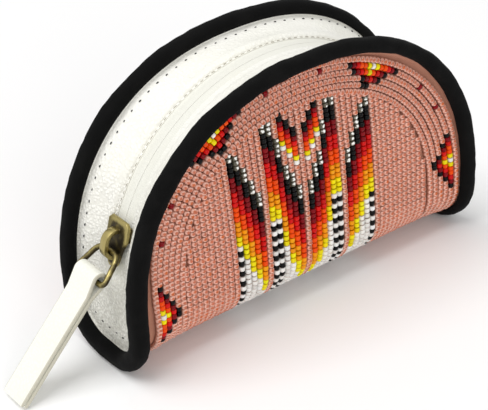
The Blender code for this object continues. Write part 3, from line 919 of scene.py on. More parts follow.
def bake(thing: bpy.types.Object) -> bpy.types.Object:
    """Turn an object and its modifiers into a plain mesh of the same name.

    Args:
        thing: The object, whose modifiers are removed.

    Returns:
        The same object.
    """
    graph = bpy.context.evaluated_depsgraph_get()
    graph.update()
    made = bpy.data.meshes.new_from_object(
        thing.evaluated_get(graph), preserve_all_data_layers=True, depsgraph=graph
    )
    thing.modifiers.clear()
    spare = thing.data
    thing.data = made
    made.name = thing.name
    bpy.data.meshes.remove(spare)
    return thing


def dress(thing: bpy.types.Object, finish: Finish, body: str, *nodes: str) -> bpy.types.Object:
    """Give a piece its finish, its body and the solids that it stands for.

    Args:
        thing: The piece.
        finish: Its finish.
        body: The body that it rides on.
        nodes: The solids that it replaces.

    Returns:
        The piece.
    """
    if not thing.data.materials:
        thing.data.materials.append(finish.material())
    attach(thing, body)
    if nodes:
        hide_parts(*nodes)
    log.info("%s: %d faces on %s", thing.name, len(thing.data.polygons), body)
    return thing


# Repeated pieces


@dataclass
class Sowing:
    """A Geometry Nodes tree that sets one small piece on many turned points.

    Each piece is turned at random by up to the wobble, in radians, and its size is changed by up
    to the spread. A point's stretch makes its piece longer.
    """

    wobble: float = 0.0
    spread: float = 0.0
    seed: int = 1

    def _inputs(self, group: bpy.types.GeometryNodeTree) -> dict[str, str]:
        """Args:
            group: The new tree.

        Returns:
            The identifiers of its inputs, by their names.
        """
        face = group.interface
        face.new_socket("Geometry", in_out="INPUT", socket_type="NodeSocketGeometry")
        face.new_socket("Geometry", in_out="OUTPUT", socket_type="NodeSocketGeometry")
        kinds = {
            "Piece": "NodeSocketObject",
            "Wobble": "NodeSocketFloat",
            "Spread": "NodeSocketFloat",
            "Seed": "NodeSocketInt",
            "Finish": "NodeSocketMaterial",
        }
        return {
            name: face.new_socket(name, in_out="INPUT", socket_type=kind).identifier
            for name, kind in kinds.items()
        }

    def tree(self) -> tuple[bpy.types.GeometryNodeTree, dict[str, str]]:
        """Build the tree.

        Returns:
            The tree, and the identifiers of its inputs by name.
        """
        group = bpy.data.node_groups.new("sowing", "GeometryNodeTree")
        names = self._inputs(group)
        board = Board(group)
        given = board.add("NodeGroupInput").outputs
        wobble = Value(board, given["Wobble"])
        spread = Value(board, given["Spread"])
        ways = board.get("ShaderNodeCombineXYZ", {}, {0: wobble, 1: wobble, 2: wobble}, 0)
        back = board.get("ShaderNodeVectorMath", {"operation": "SCALE"}, {0: ways, "Scale": -1.0}, 0)
        shake = board.get(
            "FunctionNodeRandomValue", {"data_type": "FLOAT_VECTOR"},
            {"Min": back, "Max": ways, "Seed": given["Seed"]}, "Value"
        )
        turn = board.get(
            "GeometryNodeInputNamedAttribute", {"data_type": "FLOAT_VECTOR"}, {"Name": "turn"}, "Attribute"
        )
        aim = board.get("FunctionNodeEulerToRotation", {}, {0: turn}, 0)
        nudge = board.get("FunctionNodeEulerToRotation", {}, {0: shake}, 0)
        rotation = board.get(
            "FunctionNodeRotateRotation", {"rotation_space": "LOCAL"}, {0: aim, 1: nudge}, 0
        )
        size = board.get(
            "FunctionNodeRandomValue", {"data_type": "FLOAT"},
            {"Min": 1.0 - spread, "Max": 1.0 + spread, "Seed": given["Seed"]}, "Value"
        )
        stretch = board.value(
            "GeometryNodeInputNamedAttribute", {"data_type": "FLOAT"}, {"Name": "stretch"}, "Attribute"
        )
        long = Value(board, size) * stretch
        sizes = board.get("ShaderNodeCombineXYZ", {}, {0: long, 1: size, 2: size}, 0)
        piece = board.get("GeometryNodeObjectInfo", {}, {"Object": given["Piece"]}, "Geometry")
        sown = board.get(
            "GeometryNodeInstanceOnPoints", {},
            {"Points": given["Geometry"], "Instance": piece, "Rotation": rotation, "Scale": sizes}, 0
        )
        real = board.get("GeometryNodeRealizeInstances", {}, {"Geometry": sown}, 0)
        done = board.get(
            "GeometryNodeSetMaterial", {}, {"Geometry": real, "Material": given["Finish"]}, 0
        )
        board.add("NodeGroupOutput", {}, {0: done})
        return group, names

    def sow(
        self,
        name: str,
        seed_piece: bpy.types.Object,
        points: Array,
        turns: Array,
        finish: Finish,
        marks: Mapping[str, Array] | None = None,
    ) -> bpy.types.Object:
        """Set the small piece on every point and bake the result.

        Args:
            name: The name of the whole piece.
            seed_piece: The small piece, about its own origin.
            points: The places, one row each.
            turns: Euler turns in radians, one row each.
            finish: The finish.
            marks: More attributes of the points; rows of four are colours.

        Returns:
            The baked piece.
        """
        mesh = bpy.data.meshes.new(name)
        mesh.from_pydata(points.tolist(), [], [])
        attribute = mesh.attributes.new("turn", "FLOAT_VECTOR", "POINT")
        attribute.data.foreach_set("vector", turns.astype(np.float32).ravel())
        for label, values in {"stretch": np.ones(len(points)), **(marks or {})}.items():
            is_colour = values.ndim == 2
            kind = "FLOAT_COLOR" if is_colour else "FLOAT"
            attribute = mesh.attributes.new(label, kind, "POINT")
            attribute.data.foreach_set("color" if is_colour else "value", values.astype(np.float32).ravel())
        thing = put(name, mesh)
        group, names = self.tree()
        modifier = add_modifier(thing, "NODES", node_group=group)
        given = {
            "Piece": seed_piece, "Wobble": self.wobble, "Spread": self.spread, "Seed": self.seed,
            "Finish": finish.material(),
        }
        for label, setting in given.items():
            modifier[names[label]] = setting
        bake(thing)
        bpy.data.node_groups.remove(group)
        thing.data.materials.clear()
        thing.data.materials.append(finish.material())
        return thing


def aim_turns(along: Array, outward: Array) -> Array:
    """Give Euler turns that point local X along a direction and local Z outward.

    Args:
        along: Directions, one row each.
        outward: Directions outward, one row each, not quite square to the others.

    Returns:
        The turns in radians, one row each.
    """
    x = along / np.linalg.norm(along, axis=1, keepdims=True)
    z = outward - (outward * x).sum(1, keepdims=True) * x
    z /= np.linalg.norm(z, axis=1, keepdims=True)
    y = np.cross(z, x)
    turn_y = -np.arcsin(np.clip(x[:, 2], -1.0, 1.0))
    upright = np.abs(x[:, 2]) > NEARLY_UPRIGHT
    roll = np.arctan2(-np.sign(x[:, 2]) * y[:, 0], y[:, 1])
    turn_x = np.where(upright, roll, np.arctan2(y[:, 2], z[:, 2]))
    turn_z = np.where(upright, 0.0, np.arctan2(x[:, 1], x[:, 0]))
    return np.stack([turn_x, turn_y, turn_z], 1)


def even_points(points: Array, spacing: float, closed: bool) -> tuple[Array, Array]:
    """Space points evenly on a line.

    Args:
        points: The line's points, one row each. Columns after the third go along unmeasured.
        spacing: The wanted distance.
        closed: Whether the line is a loop.

    Returns:
        The even points and the directions along the line there.
    """
    line = np.vstack([points, points[:1]]) if closed else points
    steps = np.linalg.norm(np.diff(line[:, :3], axis=0), axis=1)
    run = np.concatenate([[0.0], np.cumsum(steps)])
    count = max(2, round(run[-1] / spacing))
    places = (np.arange(count) + 0.5) * run[-1] / count
    found = [np.interp(places, run, line[:, i]) for i in range(line.shape[1])]
    later = (places + spacing / 4) % run[-1]
    ahead = [np.interp(later, run, line[:, i]) for i in range(line.shape[1])]
    here = np.stack(found, 1)
    return here, np.stack(ahead, 1) - here


# Beads


class Glass(Enum):
    """The bead colours, each with its colour, how clear it is and how silvered."""

    SALMON = ((0.82, 0.25, 0.125), 1.0, 0.0)
    SILVER = ((0.80, 0.79, 0.75), 0.0, 1.0)
    BLACK = ((0.0015, 0.0015, 0.0015), 0.0, 0.0)
    WINE = ((0.23, 0.002, 0.006), 0.0, 0.0)
    RED = ((0.70, 0.006, 0.005), 0.0, 0.0)
    ORANGE = ((1.0, 0.085, 0.002), 0.0, 0.0)
    AMBER = ((1.0, 0.35, 0.004), 0.0, 0.0)
    YELLOW = ((0.98, 0.83, 0.004), 0.0, 0.0)
    WHITE = ((0.97, 0.95, 0.91), 0.0, 0.0)


BANDS = (Glass.BLACK, Glass.WINE, Glass.RED, Glass.ORANGE, Glass.AMBER)
LETTERS = {
    "K": Glass.BLACK, "D": Glass.WINE, "R": Glass.RED, "O": Glass.ORANGE, "Y": Glass.YELLOW,
    "W": Glass.WHITE,
}


@dataclass(frozen=True)
class FeatherPattern:
    """The feathers of the upright lanes, counted in beads up from the fold.

    The lanes are numbered from the middle one, minus to the left. A feather's lane has silver
    beads at its tip, bands of a few beads each, yellow, and then white, which some lanes check
    with black. Two small feathers hang above the middle ones.
    """

    tips: Mapping[int, int] = field(
        default_factory=lambda: {
            -12: 41, -11: 40, -10: 37, -9: 34, -8: 31, -6: 44, -5: 44, -4: 40, -3: 34, -2: 32, -1: 29,
            1: 29, 2: 32, 3: 34, 4: 40, 5: 44, 6: 44, 8: 32, 9: 35, 10: 38, 11: 40, 12: 41,
        }
    )
    whites: Mapping[int, int] = field(
        default_factory=lambda: {
            -12: 22, -11: 19, -10: 16, -9: 14, -8: 10, -6: 24, -5: 24, -4: 18, -3: 14, -2: 11, -1: 8,
            1: 8, 2: 11, 3: 14, 4: 19, 5: 24, 6: 24, 8: 11, 9: 14, 10: 17, 11: 20, 12: 21,
        }
    )
    silvers: Mapping[int, int] = field(
        default_factory=lambda: {-12: 2, -6: 2, -4: 4, 5: 2, 6: 2, 11: 2, 12: 2}
    )
    silver: int = 3
    band: int = 3
    checked: tuple[int, ...] = (5, 6, 12)
    small_tips: Mapping[int, int] = field(default_factory=lambda: {1: 41, 2: 43, 3: 45})
    small_beads: tuple[Glass, ...] = (
        Glass.BLACK, Glass.BLACK, Glass.WINE, Glass.RED,
        Glass.ORANGE, Glass.ORANGE, Glass.YELLOW, Glass.WHITE,
    )

    def pick(self, lane: int, row: int) -> Glass:
        """Give the colour of one bead.

        Args:
            lane: The lane's number from the middle.
            row: The bead's number from the fold.

        Returns:
            Its glass.
        """
        if lane not in self.tips:
            return Glass.SALMON
        down = self.tips[lane] - 1 - row
        if down < 0:
            return self._small(abs(lane), row)
        silver = self.silvers.get(lane, self.silver)
        if down < silver:
            return Glass.SILVER
        if row < self.whites[lane]:
            is_black = abs(lane) in self.checked and row % 2 == 0
            return Glass.BLACK if is_black else Glass.WHITE
        band = (down - silver) // self.band
        return BANDS[band] if band < len(BANDS) else Glass.YELLOW

    def _small(self, lane: int, row: int) -> Glass:
        """Give the colour of a bead above the tips, where the two small feathers hang.

        Args:
            lane: The lane's number from the middle, to either side.
            row: The bead's number from the fold.

        Returns:
            Its glass.
        """
        down = self.small_tips.get(lane, 0) - 1 - row
        return self.small_beads[down] if 0 <= down < len(self.small_beads) else Glass.SALMON


@dataclass(frozen=True)
class BorderPattern:
    """The diamonds and single dark beads on the rings, placed in millimetres on the flat front.

    A diamond's rows are words, one a ring from the outside, with a letter for each bead.
    """

    diamonds: tuple[tuple[float, float], ...] = ((-52.3, 26.0), (-31.4, 74.9), (24.2, 76.8), (54.6, 34.8))
    dots: tuple[tuple[float, float], ...] = (
        (-13.9, 82.2), (5.5, 82.9), (41.6, 65.0), (48.2, 55.0), (-46.6, 59.9), (-50.6, 50.6),
    )
    rows: tuple[str, ...] = ("", "KDROOYWYOORDK", "KDROYORDK", "KDRDK", "KK")
    dot_ring: int = 1

    def paint(self, ring: int, x: Array, s: Array) -> list[Glass]:
        """Give the colours of one ring's beads.

        Args:
            ring: The ring's number from the outside.
            x: The beads' places along the purse.
            s: Their distances from the fold.

        Returns:
            A glass for each bead.
        """
        picked = [Glass.SALMON] * len(x)
        word = self.rows[ring] if ring < len(self.rows) else ""
        for side, _ in SIDES:
            for centre_x, centre_s in self.diamonds if word else ():
                nearest = self._nearest(x, s, centre_x, side * centre_s)
                for i, letter in enumerate(word):
                    step = int(side) * (i - len(word) // 2)
                    picked[(nearest + step) % len(x)] = LETTERS[letter]
            for dot_x, dot_s in self.dots if ring == self.dot_ring else ():
                picked[self._nearest(x, s, dot_x, side * dot_s)] = Glass.WINE
        return picked

    def _nearest(self, x: Array, s: Array, centre_x: float, centre_s: float) -> int:
        """Give the bead that lies nearest a place in millimetres."""
        return int(np.argmin(np.hypot(x * MILLIMETRES - centre_x, s * MILLIMETRES - centre_s)))


@dataclass
class Beadwork:
    """The rings and lanes of beads, sewn down on the sunken panel."""

    shape: PanelShape
    feathers: FeatherPattern = field(default_factory=FeatherPattern)
    border: BorderPattern = field(default_factory=BorderPattern)
    ring_count: int = 6
    ring_pitch: float = 0.0020
    ring_half: float = 0.05515
    ring_rise: float = 0.0566
    ring_middle: float = 0.0009
    far_reach: float = 0.0010
    far_from: float = 0.048
    far_power: float = 1.5
    rim_lift: float = 0.0010
    rim_width: float = 0.0055
    pinch: float = 0.0010
    pinch_start: float = 0.024
    pinch_end: float = 0.052
    pinch_from: float = 0.020
    pinch_run: float = 0.025
    pinch_fade: float = 0.23
    loose: float = 0.000155
    loose_below: float = 0.070
    loose_run: float = 0.042
    tuck: float = 0.58
    lane_pitch: float = 0.00200
    plain_from: int = 13
    last_left: int = 22
    last_right: int = 23
    lane_reach: float = 0.09
    lane_tries: int = 1801
    bead_length: float = 0.001545
    ring_bead_length: float = 0.00155
    bead_width: float = 0.00188
    bead_fill: float = 0.98
    hole: float = 0.00050
    middle_height: float = -0.0019
    lean: float = 1.22
    lean_from: float = 0.020
    middle_shift: float = 0.00005
    around: int = 10
    jitter: float = 0.00004
    wobble: float = 0.07
    spread: float = 0.035
    tone_change: float = 0.07
    warm_shift: Colour = (0.03, -0.05, -0.08)
    seed: int = 11

    def bead(self) -> bpy.types.Object:
        """Make one bead about its own middle, with its thread along X and Z outward.

        Returns:
            The bead, with attributes that say how far a point is from its middle and its ends, which place
            the painted highlight and painted shade of its glass.
        """
        half, radius = self.bead_length * self.bead_fill / 2, self.bead_width / 2
        side = [(half * 0.66, radius * 0.94), (half, radius * 0.66), (half * 0.84, self.hole)]
        profile = [(-place, reach) for place, reach in reversed(side)] + [(0.0, radius)] + side
        bm = bmesh.new()
        rim = bm.verts.layers.float.new("rim")
        end = bm.verts.layers.float.new("end")
        rows = []
        for place, reach in profile:
            row = []
            for i in range(self.around):
                turn = 2 * math.pi * i / self.around
                aside, up = math.sin(turn), math.cos(turn)
                vert = bm.verts.new((place, reach * aside, reach * up))
                # The rim mark is centred off the middle and kept full on the underside, so that the painted
                # highlight and painted shade of the glass fall the way the light falls.
                off = math.hypot(place / half * 0.9 - 0.18, aside * 0.95)
                vert[rim] = min(1.0, off) if up > 0 else 1.0
                vert[end] = abs(place) / half if reach > self.hole * 1.5 else 1.3
                row.append(vert)
            rows.append(row)
        for first, second in zip(rows, rows[1:] + rows[:1]):
            for i in range(self.around):
                k = (i + 1) % self.around
                bm.faces.new((first[i], first[k], second[k], second[i]))
        return small_piece("one_bead", bm)

    def _marks(self, picked: Sequence[Glass], maker: np.random.Generator) -> dict[str, Array]:
        """Give the attributes of beads. The colour changes a little from bead to bead.

        Args:
            picked: A glass for each bead.
            maker: The source of random numbers.

        Returns:
            Arrays by the attributes' names.
        """
        colours, clear, silver = (np.array([glass.value[i] for glass in picked]) for i in range(3))
        column = (len(picked), 1)
        change = 1.0 + maker.normal(0.0, self.tone_change, column)
        warm = np.array(self.warm_shift) * np.maximum(maker.normal(-0.6, 1.0, column), 0.0)
        colours = np.clip(colours * change + warm * clear[:, None], 0.0, 1.0)
        return {"glass": np.hstack([colours, np.ones(column)]), "clear": clear, "silver": silver}

    def _sow(self, name: str, x: Array, s: Array, ahead: Array, picked: Sequence[Glass]) -> bpy.types.Object:
        """Set beads at flat places.

        Args:
            name: The piece's name.
            x: Places along the purse.
            s: Distances from the fold.
            ahead: Flat directions of the thread, one row each.
            picked: A glass for each bead.

        Returns:
            The piece.
        """
        maker = np.random.default_rng(self.seed)
        height = self._level(x, s) + maker.normal(0.0, self.jitter, len(x))
        x = x + maker.normal(0.0, self.jitter, len(x))
        points = self.shape.lay(x, s, height)
        short = 0.0002
        step = ahead / np.linalg.norm(ahead, axis=1, keepdims=True) * short
        along = self.shape.lay(x + step[:, 0], s + step[:, 1], height) - points
        turns = aim_turns(along, self.shape.outward(s))
        sowing = Sowing(self.wobble, self.spread, self.seed)
        marks = self._marks(picked, maker)
        marks["stretch"] = self._row_step(s) / self.bead_length
        return sowing.sow(name, self.seed_bead, points, turns, GLASS, marks)

    def _drift(self, s: Array) -> Array:
        """Give how far the rings' middle has drifted sideways at a distance from the fold."""
        return self.ring_middle - self.lean * np.maximum(np.abs(s) - self.lean_from, 0.0) ** 2

    def _size(self, number: float) -> tuple[float, float]:
        """Give a ring's half width and its rise above the edge's straight part."""
        return self.ring_half - number * self.ring_pitch, self.ring_rise - number * self.ring_pitch

    def _pinch(self, number: float, x: Array, s: Array) -> Array:
        """Give how far a ring is drawn in at the slider's end, low down.

        Args:
            number: The ring's number. The outer rings are drawn in most.
            x: Places along the purse.
            s: Distances from the fold.

        Returns:
            A distance along the purse for each place.
        """
        low = np.clip((self.pinch_end - np.abs(s)) / (self.pinch_end - self.pinch_start), 0.0, 1.0)
        left = np.clip((-x - self.pinch_from) / self.pinch_run, 0.0, 1.0)
        return max(0.0, 1.0 - self.pinch_fade * number) * self.pinch * ease(low) * left

    def _row_step(self, s: Array) -> Array:
        """Give the length that a bead takes on its thread. The lower rows are sewn looser."""
        low = np.clip((self.loose_below - np.abs(s)) / self.loose_run, 0.0, 1.0)
        return self.bead_length + self.loose * low

    def _filled(self, number: float, x: Array, s: Array) -> Array:
        """Give how much of a ring's oval flat places fill, 1 on the ring itself.

        Args:
            number: The ring's number.
            x: Places along the purse.
            s: Distances from the fold.

        Returns:
            The share to the power of the arch.
        """
        wide, tall = self._size(number)
        rise = np.maximum(np.abs(s) - self.shape.side_length, 0.0)
        power = self.shape.arch_power
        return (np.abs(x - self._drift(s)) / wide) ** power + (rise / tall) ** power

    def _level(self, x: Array, s: Array) -> Array:
        """Give the beads' heights. The beadwork lies like a shallow dish in the binding."""
        inward = (1.0 - self._filled(0.0, x, s) ** (1 / self.shape.arch_power)) * self.ring_half
        return self.middle_height + self.rim_lift * np.exp(-np.maximum(inward, 0.0) / self.rim_width)

    def _ring(self, number: int) -> tuple[Array, Array, Array, list[Glass]]:
        """Lay out one ring's beads.

        Args:
            number: The ring's number from the outside.

        Returns:
            Their places along the purse and from the fold, their directions and their colours.
        """
        edge = self.shape.edge(400, 160)
        side = self.shape.side_length
        wide, tall = self._size(number)
        rise = np.maximum(np.abs(edge.s) - side, 0.0) / self.shape.arch_height
        s = np.sign(edge.s) * (np.minimum(np.abs(edge.s), side) + tall * rise)
        x = wide * edge.x / self.shape.half_length + self._drift(s)
        x = x + self.far_reach * np.clip(x / self.far_from, 0.0, 1.0) ** self.far_power
        line = np.stack([x + self._pinch(number, x, s), s], 1)
        here, ahead = even_points(line, self.ring_bead_length, closed=True)
        return here[:, 0], here[:, 1], ahead, self.border.paint(number, here[:, 0], here[:, 1])

    def build_rings(self) -> bpy.types.Object:
        """Sew the rings that follow the panel's edge.

        Returns:
            The piece.
        """
        rings = [self._ring(i) for i in range(self.ring_count)]
        x, s, ahead = (np.concatenate([ring[i] for ring in rings]) for i in range(3))
        picked = [glass for ring in rings for glass in ring[3]]
        piece = self._sow("bead_rings", x, s, ahead, picked)
        return dress(piece, GLASS, "purse", "beadwork_border")

    def _inside(self, x: Array, s: Array) -> Array:
        """Tell which flat places lie within the innermost ring's inner edge."""
        return self._filled(self.ring_count - 0.5, x, s) <= 1.0

    def _lean(self, s: Array) -> Array:
        """Give how far a lane has drifted sideways at a distance from the fold."""
        return self.middle_shift - self.lean * np.maximum(np.abs(s) - self.lean_from, 0.0) ** 2

    def _lane_x(self, lane: int) -> float:
        """Place a lane at the fold. The lanes past the feathers share the room that is left.

        Args:
            lane: The lane's number from the middle.

        Returns:
            Its place along the purse.
        """
        if abs(lane) <= self.plain_from:
            return lane * self.lane_pitch
        side = math.copysign(1.0, lane)
        first = (self.plain_from + 0.5) * self.lane_pitch
        last = self._size(self.ring_count - 0.5)[0] + side * (self.ring_middle - self.middle_shift)
        count = (self.last_right if lane > 0 else self.last_left) - self.plain_from
        return side * (first + (last - first) * (abs(lane) - self.plain_from - 0.5) / count)

    def _lane(self, lane: int) -> Array:
        """Lay out a lane that ends under the rings.

        Args:
            lane: The lane's number from the middle.

        Returns:
            Its beads' distances from the fold.
        """
        s = np.linspace(0.0, self.lane_reach, self.lane_tries)
        kept = self._inside(self._lane_x(lane) + self._lean(s), s)
        if not kept.any():
            return np.zeros(0)
        last = s[kept].max() + self.bead_length * self.tuck
        ends = [0.0]
        while ends[-1] < last:
            ends.append(ends[-1] + float(self._row_step(np.array(ends[-1]))))
        rows = (np.array(ends[1:]) + np.array(ends[:-1])) / 2
        rows = rows[rows < last]
        return rows[self._inside(self._lane_x(lane) + self._lean(rows), rows - self.bead_length * self.tuck)]

    def build_lanes(self) -> list[bpy.types.Object]:
        """Sew the upright lanes.

        Returns:
            The front piece and the rear piece.
        """
        pieces = []
        for side, name in SIDES:
            xs, ss, picked = [], [], []
            for lane in range(-self.last_left, self.last_right + 1):
                s = self._lane(lane)
                xs.append(self._lane_x(lane) + self._lean(s))
                ss.append(side * s)
                picked += [self.feathers.pick(lane, row) for row in range(len(s))]
            x, s = np.concatenate(xs), np.concatenate(ss)
            ahead = np.stack([np.zeros_like(s), np.sign(s)], 1)
            piece = self._sow(f"bead_lanes_{name}", x, s, ahead, picked)
            pieces.append(dress(piece, GLASS, "purse"))
        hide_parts("beadwork_field")
        return pieces

    def build(self) -> list[bpy.types.Object]:
        """Sew all the beads.

        Returns:
            The pieces.
        """
        self.seed_bead = self.bead()
        pieces = [self.build_rings(), *self.build_lanes()]
        discard(self.seed_bead)
        return pieces


# Cloth, suede and leather


@dataclass
class PanelCloth:
    """The cloth under the beads, which sinks below the binding, and the pocket's lining."""

    shape: PanelShape
    under_binding: float = -0.0008
    wall_top: float = 0.0026
    wall_foot: float = 0.0032
    edge_height: float = -0.00015
    rim_height: float = -0.0013
    floor_height: float = -0.0024
    lip_width: float = 0.0003
    lip_drop: float = 0.0004
    slope_middle: float = 0.0065
    slope_foot: float = 0.0110
    thickness: float = 0.0003
    loops: int = 40
    lining_inset: float = 0.0045
    lining_height: float = -0.0035
    lining_thickness: float = 0.0004
    lining_loops: int = 30
    edge_steps: tuple[int, int] = (96, 40)

    def _sheet(self, name: str, insets: Sequence[tuple[float, float]], loops: int) -> bpy.types.Object:
        """Make a folded sheet from loops that shrink towards the middle.

        Args:
            name: The piece's name.
            insets: Pairs of an inset and a height, from the edge inward.
            loops: The number of loops inside the last of these.

        Returns:
            The object.
        """
        edge = self.shape.edge(*self.edge_steps)
        rows = [(*self.shape.inset(edge, inset), height) for inset, height in insets]
        last_x, last_s, floor = rows[-1]
        for i in range(1, loops):
            share = 1.0 - i / loops
            rows.append((last_x * share, last_s * share, floor))
        points = np.stack([self.shape.lay(x, s, height) for x, s, height in rows])
        bm = loft(points, False, True)
        bm.verts.ensure_lookup_table()
        count = points.shape[1]
        inner = bm.verts[-count:]
        middle = bm.verts.new(self.shape.lay(np.zeros(1), np.full(1, OFF_FOLD), floor)[0])
        for i, vert in enumerate(inner):
            bm.faces.new((vert, inner[(i + 1) % count], middle))
        bmesh.ops.recalc_face_normals(bm, faces=bm.faces)
        bm.faces.ensure_lookup_table()
        low = min(bm.faces, key=lambda face: face.calc_center_median().z)
        if low.normal.z > 0:
            bmesh.ops.reverse_faces(bm, faces=bm.faces)
        return finish_mesh(name, bm)

    def _declare(self, inset: float) -> None:
        """Work out a sheet's length and area from the size that it was cut to. Neither is used.

        Args:
            inset: How far it was cut within the panel's edge.
        """
        length = 2 * (self.shape.side_length + self.shape.arch_height - inset)
        x, s = self.shape.inset(self.shape.edge(), inset)
        area = abs(float(np.sum(x * np.roll(s, -1) - np.roll(x, -1) * s))) / 2

    def build(self) -> list[bpy.types.Object]:
        """Make the backing and the lining.

        Returns:
            The pieces.
        """
        slope = [
            (self.under_binding, self.edge_height),
            (self.wall_top - self.lip_width, self.edge_height),
            (self.wall_top, self.edge_height - self.lip_drop),
            (self.wall_foot, self.rim_height),
            (self.slope_middle, (self.rim_height + self.floor_height) / 2),
            (self.slope_foot, self.floor_height),
        ]
        backing = self._sheet("panel_cloth", slope, self.loops)
        add_modifier(backing, "SOLIDIFY", thickness=self.thickness, offset=-1.0)
        dress(backing, BACKING, "purse", "backing_panel")
        self._declare(self.under_binding)
        lining = self._sheet("pocket_cloth", [(self.lining_inset, self.lining_height)], self.lining_loops)
        add_modifier(lining, "SOLIDIFY", thickness=self.lining_thickness, offset=-1.0)
        dress(lining, LINING, "purse", "pocket_lining")
        self._declare(self.lining_inset)
        return [backing, lining]


@dataclass
class Binding:
    """The suede binding: a soft round roll that grips the panel's edge, wider at the ends."""

    shape: PanelShape
    width: float = 0.0047
    thickness: float = 0.0054
    roundness: float = 2.45
    wrap: tuple[float, float] = (-8.0, 302.0)
    side_swell: float = 0.32
    swell_from: float = 0.55
    swell_run: float = 0.40
    top_slim: float = 0.20
    slot_gap: float = 0.0001
    slot_outer: float = 0.0002
    slot_inner: float = -0.00225
    wall: float = 0.0011
    inner_leg: float = 0.0012
    steps: int = 26
    pucker: tuple[tuple[float, float], ...] = ((0.011, 0.00012), (0.0042, 0.00006), (0.0019, 0.000025))
    pucker_seed: int = 5
    calm_floor: float = 0.0015

    def section(self) -> tuple[Array, Array, Array]:
        """Give the roll's section.

        Returns:
            Insets, heights, and how far each point may be moved by a pucker.
        """
        turn = np.radians(np.linspace(*self.wrap, self.steps))
        c, s = np.cos(turn), np.sin(turn)
        size = superellipse(c, s, self.roundness)
        inset = list(self.width / 2 * size * c)
        height = list(self.thickness / 2 * size * s)
        keep = [i for i in range(self.steps) if height[i] > self.slot_outer or inset[i] < self.inner_leg]
        corner = self.wall - self.width / 2
        foot = self.width / 2 - self.slot_gap
        inset = [foot, *(inset[i] for i in keep), self.inner_leg, corner, corner]
        ends = [self.slot_inner, self.slot_inner, self.slot_outer]
        height = [self.slot_outer, *(height[i] for i in keep), *ends]
        free = [0.3, *[1.0] * len(keep), *[0.0] * len(ends)]
        return np.array(inset), np.array(height), np.array(free)

    def build(self) -> bpy.types.Object:
        """Make the binding.

        Returns:
            The piece.
        """
        edge = self.shape.edge(*EDGE_STEPS)
        inset, height, free = self.section()
        columns = []
        side = np.abs(edge.x) / self.shape.half_length
        side = np.clip((side - self.swell_from) / self.swell_run, 0.0, 1.0)
        width = 1.0 + self.side_swell * side - self.top_slim * (1.0 - side)
        for reach, level in zip(inset, height):
            x, s = self.shape.inset(edge, reach * width if reach > 0 and level > self.slot_inner else reach)
            columns.append(self.shape.lay(x, s, np.full_like(x, level)))
        rows = np.stack(columns, 1)
        middle = self.shape.lay(edge.x, edge.s, np.zeros_like(edge.x))[:, None, :]
        away = rows - middle
        away /= np.linalg.norm(away, axis=2, keepdims=True)
        swell = smooth_noise(rows, self.pucker, self.pucker_seed) * free[None, :]
        lift = np.clip(rows[..., 2] / self.calm_floor, 0.0, 1.0)
        rows = rows + away * (swell * lift)[..., None]
        bm = loft(rows, True, True)
        face_outward(bm)
        piece = finish_mesh("suede_binding", bm, 70.0)
        dress(piece, SUEDE, "purse", "edge_binding")
        return piece


@dataclass(frozen=True)
class Lip:
    """One step of the leather's thinned lip beside the zip."""

    half: float
    height: float
    thickness: float
    shift: float


